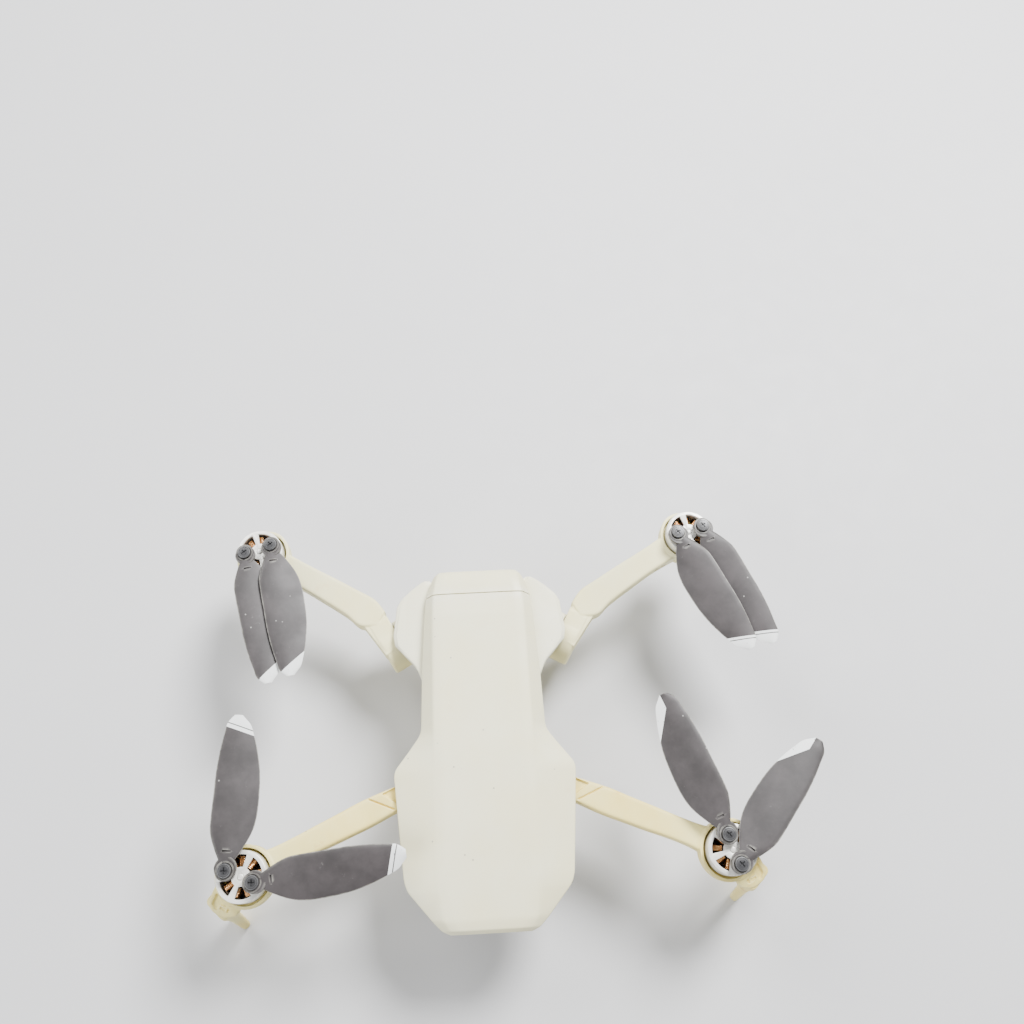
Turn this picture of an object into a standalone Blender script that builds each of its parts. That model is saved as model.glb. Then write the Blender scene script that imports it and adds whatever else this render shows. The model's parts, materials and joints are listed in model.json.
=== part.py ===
"""Folding camera quadcopter, modelled as the pieces it comes apart into.

Frame: +X is the aircraft's left, -Y its nose, +Z up.  The origin is the middle
of the flat belly.  Lengths in this file are millimetres; the scene is in metres.
"""
import math

import bmesh
import bpy
from mathutils import Matrix, Vector

MM = 0.001

# heights above the belly
GROUND_Z = -12.0     # where the legs and the rear feet stand
TOP_Z = 37.2         # flat spine of the top shell
RIM_Z = 29.0         # lower rim of the top shell all round
WALL = 1.6           # moulded wall of the shells

# rotors
MOTOR_X = 87.0
MOTOR_Y = 61.3
FRONT_BELL_Z = 39.0  # top face of a front motor
REAR_BELL_Z = 32.0   # top face of a rear motor
BELL_R = 8.9
BELL_H = 9.4
CUP_R = 11.0
CUP_BORE_R = 9.8
CUP_H = 7.7
CUP_FLOOR = 1.5
CUP_TOP = 35.2       # rim of a front motor cup, beside its arm
REAR_CUP_TOP = 28.2
CUP_DROP = 5.0       # how far the rim falls towards its low side
LOW_SIDE = (0.45, -0.89)          # the front cups are low away from the arm, towards the nose
SCREW_PITCH_R = 5.3  # blade screws sit this far from the motor axis
BLADE_LENGTH = 54.4

# arm hinges
FRONT_HINGE = (28.0, -36.0)
REAR_HINGE = (36.0, 24.5, 12.0)
REAR_TILT = math.radians(29.0)   # the rear hinge axis points outward and this much forward
REAR_DISC_R = 10.5
REAR_DISC_HALF = 4.0
KNEE_REACH = 10.6
KNEE_RISE = 10.3

# gimbal
YAW_AXIS_Y = -62.5
CAMERA_CENTRE = (0.0, -74.0, 9.0)

# colours: base colour, roughness, metallic
FINISHES = {
    "shell_plastic": ((0.80, 0.78, 0.68), 0.45, 0.0),
    "arm_plastic": ((0.84, 0.80, 0.62), 0.45, 0.0),
    "frame_plastic": ((0.74, 0.72, 0.64), 0.5, 0.0),
    "grey_plastic": ((0.30, 0.30, 0.31), 0.5, 0.0),
    "blade_plastic": ((0.15, 0.14, 0.15), 0.4, 0.0),
    "bell_metal": ((0.85, 0.85, 0.83), 0.35, 0.6),
    "copper": ((0.72, 0.34, 0.14), 0.35, 0.9),
    "steel": ((0.35, 0.35, 0.36), 0.35, 0.9),
    "aluminium": ((0.62, 0.63, 0.65), 0.4, 0.9),
    "circuit_board": ((0.05, 0.16, 0.10), 0.5, 0.0),
    "rubber": ((0.03, 0.03, 0.03), 0.8, 0.0),
    "lens_glass": ((0.02, 0.02, 0.03), 0.05, 0.0),
}


# ---------------------------------------------------------------- collections
def clear_scene():
    for obj in list(bpy.data.objects):
        bpy.data.objects.remove(obj)


def new_collection(name):
    group = bpy.data.collections.new(name)
    bpy.context.scene.collection.children.link(group)
    return group


def make_material(name):
    colour, roughness, metallic = FINISHES[name]
    material = bpy.data.materials.new(name)
    material.use_nodes = True
    shader = material.node_tree.nodes["Principled BSDF"]
    shader.inputs["Base Color"].default_value = (*colour, 1.0)
    shader.inputs["Roughness"].default_value = roughness
    shader.inputs["Metallic"].default_value = metallic
    return material


clear_scene()
PARTS = new_collection("folding_quadcopter")
CUTTERS = new_collection("cutters")
MATERIALS = {name: make_material(name) for name in FINISHES}


# ---------------------------------------------------------------- mesh helpers
def add_object(name, bm, material, origin=(0, 0, 0), turn=0.0):
    """A finished piece, its mesh given in millimetres about its own origin."""
    bmesh.ops.recalc_face_normals(bm, faces=bm.faces)
    bmesh.ops.scale(bm, vec=(MM, MM, MM), verts=bm.verts)
    mesh = bpy.data.meshes.new(name)
    bm.to_mesh(mesh)
    bm.free()
    obj = bpy.data.objects.new(name, mesh)
    obj.location = Vector(origin) * MM
    obj.rotation_euler = (0, 0, turn)
    PARTS.objects.link(obj)
    if material:
        mesh.materials.append(MATERIALS[material])
        mesh.shade_smooth()
        mesh.set_sharp_from_angle(angle=math.radians(30))
    return obj


def stack(rings):
    """A closed solid through rings of equal length, its two ends capped."""
    bm = bmesh.new()
    loops = [[bm.verts.new(point) for point in ring] for ring in rings]
    count = len(rings[0])
    for low, high in zip(loops, loops[1:]):
        for i in range(count):
            j = (i + 1) % count
            bm.faces.new((low[i], low[j], high[j], high[i]))
    bm.faces.new(loops[0])
    bm.faces.new(loops[-1])
    return bm


def prism(outline, low, high):
    """An upright block on a plan outline."""
    return stack([[(x, y, z) for x, y in outline] for z in (low, high)])


def box(low, high):
    bm = bmesh.new()
    size = [b - a for a, b in zip(low, high)]
    middle = [(a + b) / 2 for a, b in zip(low, high)]
    matrix = Matrix.Translation(middle) @ Matrix.Diagonal((*size, 1))
    bmesh.ops.create_cube(bm, size=1, matrix=matrix)
    return bm


def rod(start, end, radius, sides=24, end_radius=None):
    """A round bar, or a cone when end_radius differs, between two points."""
    start = Vector(start)
    end = Vector(end)
    along = end - start
    turn = Vector((0, 0, 1)).rotation_difference(along).to_matrix().to_4x4()
    bm = bmesh.new()
    bmesh.ops.create_cone(
        bm, cap_ends=True, segments=sides, radius1=radius,
        radius2=radius if end_radius is None else end_radius, depth=along.length,
        matrix=Matrix.Translation((start + end) / 2) @ turn)
    return bm


def mirrored(outline):
    """A right-hand plan outline, from tail to nose, closed by its mirror image."""
    return outline + [(-x, y) for x, y in reversed(outline)]


def flip(bm, side):
    """The mesh itself for side +1, and its mirror image for side -1."""
    if side < 0:
        bmesh.ops.scale(bm, vec=(-1, 1, 1), verts=bm.verts)
        bmesh.ops.reverse_faces(bm, faces=bm.faces)
    return bm


def combine(obj, operation, bm, side=1):
    """Join to or cut from a piece the solid bm, which is used up."""
    cutter = add_object(obj.name + "_" + operation.lower(), flip(bm, side), None)
    cutter.location = (0, 0, 0)
    PARTS.objects.unlink(cutter)
    CUTTERS.objects.link(cutter)
    cutter.hide_render = True
    cutter.display_type = "WIRE"
    step = obj.modifiers.new(operation, "BOOLEAN")
    step.operation = operation
    step.solver = "EXACT"
    step.object = cutter


def join(obj, bm, side=1):
    combine(obj, "UNION", bm, side)


def cut(obj, bm, side=1):
    combine(obj, "DIFFERENCE", bm, side)


def side_name(side):
    return "left" if side > 0 else "right"


# ---------------------------------------------------------------- top shell
# y, half-width at the rim, half-width at the crease, crease height, spine height
SHELL_STATIONS = [
    (38.3, 20.7, 17.6, 36.0, 36.6),
    (30.0, 21.5, 18.0, 36.6, TOP_Z),
    (8.0, 22.9, 18.3, 36.7, TOP_Z),
    (-14.0, 23.6, 18.6, 36.7, TOP_Z),
    (-20.5, 28.4, 18.7, 36.6, TOP_Z),
    (-26.8, 33.4, 18.8, 36.4, TOP_Z - 0.1),
    (-29.0, 34.0, 18.8, 36.4, TOP_Z - 0.2),
    (-48.0, 32.4, 18.8, 35.8, TOP_Z - 0.7),
    (-66.0, 30.8, 18.6, 34.8, TOP_Z - 1.9),
    (-69.5, 29.6, 18.3, 34.4, TOP_Z - 2.2),
    (-80.0, 20.6, 16.4, 33.4, TOP_Z - 3.2),
    (-83.2, 17.4, 14.6, 32.4, TOP_Z - 4.2),
    (-84.5, 14.5, 12.4, 31.0, TOP_Z - 5.8),
]
LIP_Z = 1.5          # height of the upright band along the rim


def shell_ring(station, inset, drop, floor):
    """One closed cross-section, drawn in from the outer skin by inset and drop."""
    y, rim, crease, crease_z, top = station
    half = [
        (rim - inset, floor),
        (rim - inset, RIM_Z + LIP_Z - drop),
        (crease - inset / 2, crease_z - drop),
        (crease - 3.0, top - drop),
        (crease * 0.45, top - drop),
    ]
    right = [(x, y, z) for x, z in half]
    left = [(-x, y, z) for x, z in reversed(half)]
    return right + left


def make_top_shell():
    shell = add_object(
        "top_shell", stack([shell_ring(s, 0, 0, RIM_Z) for s in SHELL_STATIONS]),
        "shell_plastic")
    inner = [shell_ring(s, 1.3, WALL, RIM_Z - 2) for s in SHELL_STATIONS[:-1]]
    behind = [(x, y + 2, z) for x, y, z in inner[0]]
    cut(shell, stack([behind] + inner))
    return shell


# ---------------------------------------------------------------- mid frame
TUBE_OUTLINE = [(17.4, 46.6), (19.3, 38.0), (21.4, 10.0), (21.8, -13.0), (19.6, -20.0),
                (19.6, -55.5)]
EAR_OUTLINE = [(18.0, 44.5), (20.8, 47.6), (23.8, 46.0), (27.0, 43.6), (31.0, 40.2),
               (32.7, 37.2), (33.2, 33.4), (34.2, 25.5), (33.6, 21.6), (29.4, 16.8),
               (25.2, 12.2), (23.6, 8.0), (20.0, 4.0)]
EAR_LOW = 23.3
EAR_HIGH = 26.3
TRAY_LOW = 12.6
TRAY_HIGH = 13.8
TUBE_LOW = 10.0
TUBE_HIGH = 28.7
NOSE_OUTLINE = [(18.0, -45.0), (31.0, -45.0), (29.2, -66.0), (19.0, -79.5), (13.0, -82.4)]
NOSE_LOW = 26.4


def rear_axis(side):
    return Vector((side * math.cos(REAR_TILT), -math.sin(REAR_TILT), 0))


def rear_centre(side):
    return Vector((side * REAR_HINGE[0], REAR_HINGE[1], REAR_HINGE[2]))


def grow(outline, step):
    """A plan outline pulled towards the centre line by step."""
    return [(x - step, y) for x, y in outline]


def make_mid_frame():
    frame = add_object("mid_frame", prism(mirrored(TUBE_OUTLINE), TUBE_LOW, TUBE_HIGH),
                       "frame_plastic")
    shelf_x, shelf_y = FRONT_HINGE
    axis = rear_axis(1)
    centre = rear_centre(1)
    for side in (1, -1):
        ear = stack([[(x, y, EAR_LOW) for x, y in EAR_OUTLINE],
                     [(x, y, EAR_HIGH - 1.2) for x, y in EAR_OUTLINE],
                     [(x - 1.4, y - 0.4, EAR_HIGH) for x, y in EAR_OUTLINE]])
        join(frame, ear, side)
        join(frame, box((17, shelf_y - 6.5, 12.0), (shelf_x, shelf_y + 6.5, 18.6)), side)
        join(frame, rod((shelf_x, shelf_y, 12.0), (shelf_x, shelf_y, 18.6), 6.5, 20), side)
        boss_end = centre - axis * (REAR_DISC_HALF + 0.4)
        join(frame, rod(boss_end - axis * 17, boss_end, 8.5), side)
    join(frame, prism(mirrored(NOSE_OUTLINE), NOSE_LOW, TUBE_HIGH))
    inner = [(17.4 - WALL, 60.0)] + grow(TUBE_OUTLINE, WALL)[1:-1]
    inner.append((TUBE_OUTLINE[-1][0] - WALL, TUBE_OUTLINE[-1][1] + WALL))
    cut(frame, prism(mirrored(inner), TRAY_HIGH, 40.0))
    cut(frame, prism(mirrored(inner), TUBE_LOW - 5, TRAY_LOW))
    cut(frame, box((-12, -53, TUBE_LOW), (12, -34, 20)))
    cut(frame, box((-19.9, 8, -5), (19.9, 50, TUBE_LOW)))
    for side in (1, -1):
        cut(frame, rod((shelf_x, shelf_y, 14.0), (shelf_x, shelf_y, 25.0), 2.3, 16), side)
        end = centre + axis * 3
        cut(frame, rod(centre - axis * 12, end, 3.3, 16), side)
    return frame


# ---------------------------------------------------------------- bottom shell
BELLY_STATIONS = [
    # y, half-width at the joint, half-width at the belly, belly height
    (44.9, 16.8, 12.0, 3.6),
    (38.0, 18.6, 14.5, 0.0),
    (10.0, 19.6, 15.5, 0.0),
    (-30.0, 19.6, 15.5, 0.0),
    (-50.0, 19.2, 15.0, 0.0),
    (-56.0, 18.0, 13.5, 2.8),
]
BELLY_TOP = 9.7
FOOT_Y = 35.0
FOOT_X = 13.5


def belly_ring(station, inset, lift, top):
    y, joint, belly, low = station
    half = [(joint - inset, top), (joint - inset, 6.2), (belly - inset / 2, low + lift)]
    return [(x, y, z) for x, z in half] + [(-x, y, z) for x, z in reversed(half)]


def make_bottom_shell():
    shell = add_object(
        "bottom_shell", stack([belly_ring(s, 0, 0, BELLY_TOP) for s in BELLY_STATIONS]),
        "shell_plastic")
    inner = [list(s) for s in BELLY_STATIONS]
    inner[0][0] -= 1.5
    inner[-1][0] += 1.5
    cut(shell, stack([belly_ring(s, 1.5, 1.5, 20) for s in inner]))
    for side in (1, -1):
        foot = rod((FOOT_X, FOOT_Y, GROUND_Z), (FOOT_X, FOOT_Y, 1.0), 2.6, 16, 3.8)
        join(shell, foot, side)
    cut(shell, box((-14, -30, -3), (14, -12, 1.0)))
    cut(shell, rod((0, 28, -3), (0, 28, 6), 4.3, 24))
    cut(shell, box((-6, 20.2, -3), (6, 22.2, 6)))
    return shell


# ---------------------------------------------------------------- battery door
DOOR_STATIONS = [
    # y, half-width at the rim, crease half-width, crease height, top height, bottom height
    (38.7, 20.7, 17.6, 36.0, 36.6, 5.0),
    (44.0, 19.0, 16.6, 35.5, 36.1, 5.0),
    (47.2, 17.6, 15.8, 34.0, 34.9, 5.0),
    (48.7, 16.0, 14.8, 32.0, 32.6, 7.0),
]
DOOR_BACK_Y = 46.9   # inner face of the door's rear wall
DOOR_HINGE = (47.0, 4.6)


def door_ring(station, inset, drop):
    y, rim, crease, crease_z, top, low = station
    half = [
        (rim * 0.94 - inset, low),
        (rim - inset, RIM_Z - drop),
        (rim - inset, RIM_Z + LIP_Z - drop),
        (crease - inset / 2, crease_z - drop),
        (crease - 3.0, top - drop),
    ]
    return [(x, y, z) for x, z in half] + [(-x, y, z) for x, z in reversed(half)]


def make_battery_door():
    door = add_object("battery_door", stack([door_ring(s, 0, 0) for s in DOOR_STATIONS]),
                      "shell_plastic")
    cut(door, box((-30, 30, 0), (30, DOOR_BACK_Y, RIM_Z)))
    front = (37.0, *DOOR_STATIONS[0][1:])
    back = (DOOR_BACK_Y - 0.2, *DOOR_STATIONS[1][1:])
    cut(door, stack([door_ring(s, 1.3, WALL) for s in (front, back)]))
    y, z = DOOR_HINGE
    join(door, rod((-9, y, z), (9, y, z), 1.5, 16))
    return door


# ---------------------------------------------------------------- inside the hull
def rounded(half_x, y0, y1, corner):
    """A plan rectangle with cut corners."""
    return [(half_x, y1 - corner), (half_x - corner, y1), (-half_x + corner, y1),
            (-half_x, y1 - corner), (-half_x, y0 + corner), (-half_x + corner, y0),
            (half_x - corner, y0), (half_x, y0 + corner)]


def make_internals():
    add_object("battery_pack", prism(rounded(15.6, -30, 43.5, 2.5), 14.2, 33.2), "grey_plastic")
    add_object("main_board", prism(rounded(17.0, -50, 40, 2), 9.0 + 1.6, 11.8), "circuit_board")
    sink = add_object("heat_sink", prism(rounded(13.5, -48, -33, 1), 2.0, 8.0), "aluminium")
    for i in range(5):
        x = -10.8 + 5.4 * i
        cut(sink, box((x - 1.5, -60, 1), (x + 1.5, -20, 6.2)))
    add_object("satellite_receiver", prism(rounded(9, -52, -34, 1), 22.0, 28.5), "circuit_board")
    window = add_object("belly_sensor_window", prism(rounded(13.6, -29.6, -12.4, 2), 0.0, 0.7),
                        "lens_glass")
    for side in (1, -1):
        cut(window, rod((8 * side, -21, -1), (8 * side, -21, 0.3), 3.4, 20))
    button = add_object("power_button", rod((0, 0, -0.3), (0, 0, 1.6), 4.0), "grey_plastic",
                        origin=(0, 28, 0))
    join(button, rod((0, 28, 1.2), (0, 28, 3.2), 3.2))
    add_object("charge_level_window", box((-5.7, 20.5, 0.1), (5.7, 21.9, 1.5)), "lens_glass")
    port = add_object("charging_port", box((-4.6, 36.5, 3.0), (4.6, 43.8, 6.4)), "steel")
    cut(port, box((-4.0, 38, 3.6), (4.0, 50, 5.8)))
    cut(bpy.data.objects["bottom_shell"], box((-4.9, 36.0, 2.7), (4.9, 50, 6.7)))


# ---------------------------------------------------------------- gimbal
def make_gimbal():
    cx, cy, cz = CAMERA_CENTRE
    add_object("gimbal_damper_plate", prism(rounded(13, -78, -57.5, 3), 24.2, 25.4), "aluminium")
    for side in (1, -1):
        damper = rod((10 * side, -67.5, 25.7), (10 * side, -67.5, 26.1), 2.2, 16)
        add_object("gimbal_damper_" + side_name(side), damper, "rubber")

    yaw = add_object("gimbal_yaw_arm", rod((0, 0, 18.6), (0, 0, 23.9), 5.2), "grey_plastic",
                     origin=(0, YAW_AXIS_Y, 0))
    join(yaw, box((-3.6, YAW_AXIS_Y + 1, cz - 4), (3.6, YAW_AXIS_Y + 4.6, 22)))
    join(yaw, rod((0, -62.2, cz), (0, YAW_AXIS_Y + 4.6, cz), 5.6))

    roll = add_object("gimbal_roll_arm", rod((0, -1.9, 0), (0, 1.9, 0), 5.2), "grey_plastic",
                      origin=(0, -64.5, cz))
    join(roll, box((-15.0, -66.2, cz - 3.2), (2, -63.2, cz + 3.2)))
    join(roll, box((-15.0, cy - 4, cz - 3.2), (-12.4, -64, cz + 3.2)))
    join(roll, rod((-15.0, cy, cz), (-11.2, cy, cz), 4.4))

    camera = add_object("camera_housing", rod((-10.6, 0, 0), (9.6, 0, 0), 6.5), "grey_plastic",
                        origin=CAMERA_CENTRE)
    join(camera, box((-7.4, cy - 7.0, cz - 5.4), (7.4, cy, cz + 5.4)))
    join(camera, rod((0, cy - 6, cz), (0, cy - 8.6, cz), 5.4))
    cut(camera, rod((0, cy - 7.2, cz), (0, cy - 12, cz), 4.6))
    lens = rod((0, -7.5, 0), (0, -8.3, 0), 4.2, 24)
    add_object("camera_lens", lens, "lens_glass", origin=CAMERA_CENTRE)


# ---------------------------------------------------------------- arms
def arm_ring(along, centre, across, half, low, high, bevel=1.3):
    """A cross-section of an arm: flat top and bottom with bevelled edges."""
    base = Vector((centre[0], centre[1], 0)) + Vector((along[0], along[1], 0)) * across[0]
    normal = Vector((-along[1], along[0], 0))
    shape = [(half - bevel, low), (half, low + bevel), (half, high - bevel),
             (half - bevel, high), (-half + bevel, high), (-half, high - bevel),
             (-half, low + bevel), (-half + bevel, low)]
    return [tuple(base + normal * (across[1] + t) + Vector((0, 0, z))) for t, z in shape]


# share of the leg's height, half-width, half-thickness
LEG_SECTIONS = [(0.0, 3.0, 1.2), (0.05, 3.6, 1.6), (0.6, 4.0, 1.9), (0.85, 4.8, 2.8),
                (0.93, 5.2, 3.3), (1.0, 5.0, 3.1)]


def make_front_arm(side):
    """The front arm swings back about an upright pin under the wing; its leg is part of it."""
    hx, hy = FRONT_HINGE
    along = Vector((MOTOR_X - hx, -MOTOR_Y - hy)).normalized()
    length = math.dist((hx, hy), (MOTOR_X, -MOTOR_Y))
    # distance from the hinge, sideways offset, half-width, underside, top
    sections = [
        (0.0, 1.2, 4.2, 19.0, 28.0), (8.0, 1.5, 4.4, 19.0, 28.0), (17.0, 1.4, 4.9, 20.5, 28.3),
        (25.0, 1.1, 4.7, 22.2, 30.2), (34.0, 0.8, 4.5, 24.6, 32.4), (44.0, 0.6, 4.2, 27.4, 34.2),
        (52.0, 0.4, 4.4, 27.5, 35.0), (length - 6.0, 0.2, 5.4, 27.5, CUP_TOP),
    ]
    rings = [arm_ring(along, (hx, hy), (s, t), half, low, high)
             for s, t, half, low, high in sections]
    name = "front_" + side_name(side) + "_arm"
    arm = add_object(name, flip(stack(rings), side), "arm_plastic")
    join(arm, rod((hx, hy, 19.0), (hx, hy, 28.0), 5.6, 20), side)

    foot = Vector((98.2, -76.8, GROUND_Z))
    head = Vector((96.6, -70.6, 28.4))
    wide = Vector((0.7, 0.7, 0))
    thick = Vector((0.7, -0.7, 0))
    leg = []
    for t, w, d in LEG_SECTIONS:
        c = foot.lerp(head, t)
        leg.append([tuple(c + wide * a * w + thick * b * d)
                    for a, b in ((1, 0.6), (0.8, 1), (-0.8, 1), (-1, 0.6), (-1, -0.6), (-0.8, -1),
                                 (0.8, -1), (1, -0.6))])
    join(arm, stack(leg), side)
    neck = [arm_ring(along, (MOTOR_X, -MOTOR_Y), (s, t), half, 27.5, 30.2, 0.8)
            for s, t, half in ((6.0, -1.5, 6.0), (12.5, -3.0, 5.4))]
    join(arm, stack(neck), side)
    motor = (MOTOR_X, -MOTOR_Y)
    join(arm, rod((*motor, CUP_TOP - CUP_H), (*motor, CUP_TOP), CUP_R, 28), side)
    cut(arm, rod((*motor, CUP_TOP - CUP_H + CUP_FLOOR), (*motor, 45), CUP_BORE_R, 28), side)
    cut(arm, cup_slope(*motor, CUP_TOP, LOW_SIDE, CUP_DROP), side)
    cut(arm, rod((hx, hy, 15.0), (hx, hy, 30.0), 1.9, 16), side)
    return arm


def cup_slope(x, y, high, along, drop):
    """The slanted cut that lowers a motor cup's rim on the side away from the arm."""
    heading = math.atan2(along[1], along[0])
    wedge = prism([(-4.0, -20), (-4.0, 20), (25, 20), (25, -20)], 0, 12)
    for vert in wedge.verts:
        if vert.co.z < 1 and vert.co.x > 0:
            vert.co.z = -drop * (25 + 4) / (CUP_R + 4)
    turn = Matrix.Translation((x, y, high)) @ Matrix.Rotation(heading, 4, "Z")
    bmesh.ops.transform(wedge, matrix=turn, verts=wedge.verts)
    return wedge


def make_rear_arm(side):
    """The rear arm turns half a turn about its slanted axis and ends under the hull."""
    axis = rear_axis(1)
    centre = rear_centre(1)
    root = Vector((39.4, 34.2))
    along = (Vector((MOTOR_X, MOTOR_Y)) - root).normalized()
    length = math.dist(root, (MOTOR_X, MOTOR_Y))
    sections = [
        (0.0, -0.6, 3.6, 14.5, 22.3), (6.0, -0.8, 6.2, 15.0, 22.8), (13.0, -0.1, 5.6, 16.0, 23.8),
        (24.0, 0.2, 5.2, 18.0, 25.6), (36.0, 0.2, 4.9, 20.5, 27.2),
        (length - 6.0, 0.0, 5.4, 20.5, 28.2),
    ]
    rings = [arm_ring(along, root, (s, t), half, low, high) for s, t, half, low, high in sections]
    name = "rear_" + side_name(side) + "_arm"
    arm = add_object(name, flip(stack(rings), side), "arm_plastic")
    low_end = centre - axis * REAR_DISC_HALF
    high_end = centre + axis * REAR_DISC_HALF
    join(arm, rod(low_end, high_end, REAR_DISC_R, 28), side)
    join(arm, knee(centre, axis), side)
    low = REAR_CUP_TOP - CUP_H
    join(arm, rod((MOTOR_X, MOTOR_Y, low), (MOTOR_X, MOTOR_Y, REAR_CUP_TOP), CUP_R, 28), side)
    cut(arm, rod((MOTOR_X, MOTOR_Y, low + CUP_FLOOR), (MOTOR_X, MOTOR_Y, 45), CUP_BORE_R, 28), side)
    cut(arm, cup_slope(MOTOR_X, MOTOR_Y, REAR_CUP_TOP, along, CUP_DROP), side)
    cut(arm, rod(centre - axis * 12, centre + axis * 2.2, 2.9, 16), side)
    return arm


def knee(centre, axis):
    """The flat shoulder that fills the corner between the rear hinge disc and its arm."""
    across = Vector((-axis.y, axis.x, 0))
    reach, rise = KNEE_REACH, KNEE_RISE
    corners = [(-1.0, rise), (reach - 1.5, rise), (reach, rise - 2.0), (reach, 0.0), (0.0, 0.0)]
    rings = []
    for depth in (-REAR_DISC_HALF + 0.1, REAR_DISC_HALF - 0.1):
        rings.append([tuple(centre + across * u + axis * depth + Vector((0, 0, z)))
                      for u, z in corners])
    return stack(rings)


def make_hinge_pins():
    x, y = FRONT_HINGE
    axis = rear_axis(1)
    centre = rear_centre(1)
    for side in (1, -1):
        pin = rod((x, y, 14.3), (x, y, 28.3), 1.6, 16)
        add_object("front_" + side_name(side) + "_hinge_pin", flip(pin, side), "steel")
        shaft = rod(centre - axis * 11.5, centre + axis * 1.9, 2.6, 16)
        add_object("rear_" + side_name(side) + "_hinge_shaft", flip(shaft, side), "steel")


# ---------------------------------------------------------------- motors
def make_motor(tag, x, y, bell_z, hub_angle):
    """A brushless outrunner: fixed stator and windings, turning bell with two screw lugs."""
    base = bell_z - BELL_H
    place = (x, y, 0)
    stator = add_object(tag + "_stator", rod((0, 0, base - 0.3), (0, 0, base + 0.5), 7.3, 20),
                        "steel", origin=place)
    join(stator, rod((x, y, base), (x, y, bell_z - 1.8), 3.2, 16))
    cut(stator, rod((x, y, base + 0.3), (x, y, bell_z + 3), 1.4, 12))

    add_object(tag + "_winding", winding_ring(base + 1.4, bell_z - 2.4), "copper", origin=place)

    bell = add_object(tag + "_bell", rod((0, 0, base + 0.1), (0, 0, bell_z), BELL_R, 32),
                      "bell_metal", origin=place)
    cut(bell, rod((x, y, base - 3), (x, y, bell_z - 1.2), BELL_R - 1.0, 32))
    for quarter in range(4):
        start = hub_angle + quarter * math.pi / 2
        wide = 0.62 if quarter % 2 == 0 else 0.14
        narrow = 0.14 if quarter % 2 == 0 else 0.62
        window = sector(start + wide, start + math.pi / 2 - narrow, 3.4, 7.2)
        bmesh.ops.translate(window, vec=(x, y, bell_z), verts=window.verts)
        cut(bell, window)
    join(bell, rod((x, y, base + 0.6), (x, y, bell_z + 0.4), 1.0, 12))
    for half_turn in (0, math.pi):
        sx, sy = screw_place(x, y, hub_angle + half_turn)
        join(bell, rod((sx, sy, bell_z - 1.2), (sx, sy, bell_z + 0.5), 2.9, 16))
        cut(bell, rod((sx, sy, bell_z - 0.8), (sx, sy, bell_z + 2), 1.1, 12))
    return bell


def winding_ring(low, high):
    """Nine coils side by side round the stator, as one lobed ring."""
    lobes = 9
    points = lobes * 4
    bm = bmesh.new()
    loops = []
    for radius_at, z in ((3.7, low), (6.9, low), (6.9, high), (3.7, high)):
        ring = []
        for i in range(points):
            angle = 2 * math.pi * i / points
            radius = radius_at
            if radius_at > 5 and i % 4 in (2, 3):
                radius = 5.3
            ring.append(bm.verts.new((radius * math.cos(angle), radius * math.sin(angle), z)))
        loops.append(ring)
    for a, b in zip(loops, loops[1:] + loops[:1]):
        for i in range(points):
            j = (i + 1) % points
            bm.faces.new((a[i], a[j], b[j], b[i]))
    return bm


def sector(start, end, inner, outer, steps=5):
    """A cutter shaped like a window between two spokes."""
    angles = [start + (end - start) * i / steps for i in range(steps + 1)]
    outline = [(outer * math.cos(a), outer * math.sin(a)) for a in angles]
    outline += [(inner * math.cos(a), inner * math.sin(a)) for a in reversed(angles)]
    return prism(outline, -3, 3)


def screw_place(x, y, angle):
    return x + SCREW_PITCH_R * math.cos(angle), y + SCREW_PITCH_R * math.sin(angle)


# ---------------------------------------------------------------- blades
# distance from the screw, leading offset, trailing offset, pitch in degrees, thickness
BLADE_SECTIONS = [
    (2.6, 2.2, 2.2, 1.0, 1.5), (6.7, 4.2, 4.8, 8.0, 1.2), (12.4, 6.2, 7.6, 12.0, 1.0),
    (18.2, 6.5, 8.9, 13.0, 1.0), (26.0, 6.4, 9.1, 12.5, 1.0), (34.0, 6.3, 8.6, 12.0, 0.9),
    (41.4, 5.7, 7.1, 11.0, 0.9), (47.2, 4.8, 5.3, 10.0, 0.8), (51.5, 3.8, 4.2, 10.0, 0.8),
    (53.6, 2.3, 2.4, 10.0, 0.7), (BLADE_LENGTH, 1.0, 1.0, 10.0, 0.6),
]
BLADE_LIFT = 2.6     # blade's middle plane above the bell's top face


def make_blade(name, x, y, bell_z, hand, heading):
    """One blade about its own screw; hand is +1 for a rotor turning anticlockwise."""
    rings = []
    for s, lead, trail, pitch, thick in BLADE_SECTIONS:
        slope = math.tan(math.radians(pitch))
        ring = []
        for across, half in ((lead, 0.15), (lead * 0.5, 0.45), (-trail * 0.3, 0.5), (-trail, 0.15)):
            ring.append((s, hand * across, BLADE_LIFT + across * slope + half * thick))
        for across, half in ((-trail, 0.15), (-trail * 0.3, 0.5), (lead * 0.5, 0.45), (lead, 0.15)):
            ring.append((s, hand * across, BLADE_LIFT + across * slope - half * thick))
        rings.append(ring)
    blade = add_object(name, stack(rings), "blade_plastic", origin=(x, y, bell_z), turn=heading)
    join(blade, rod((x, y, bell_z + 0.9), (x, y, bell_z + 3.4), 3.5, 20))
    cut(blade, rod((x, y, bell_z - 2), (x, y, bell_z + 6), 1.2, 12))
    return blade


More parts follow.
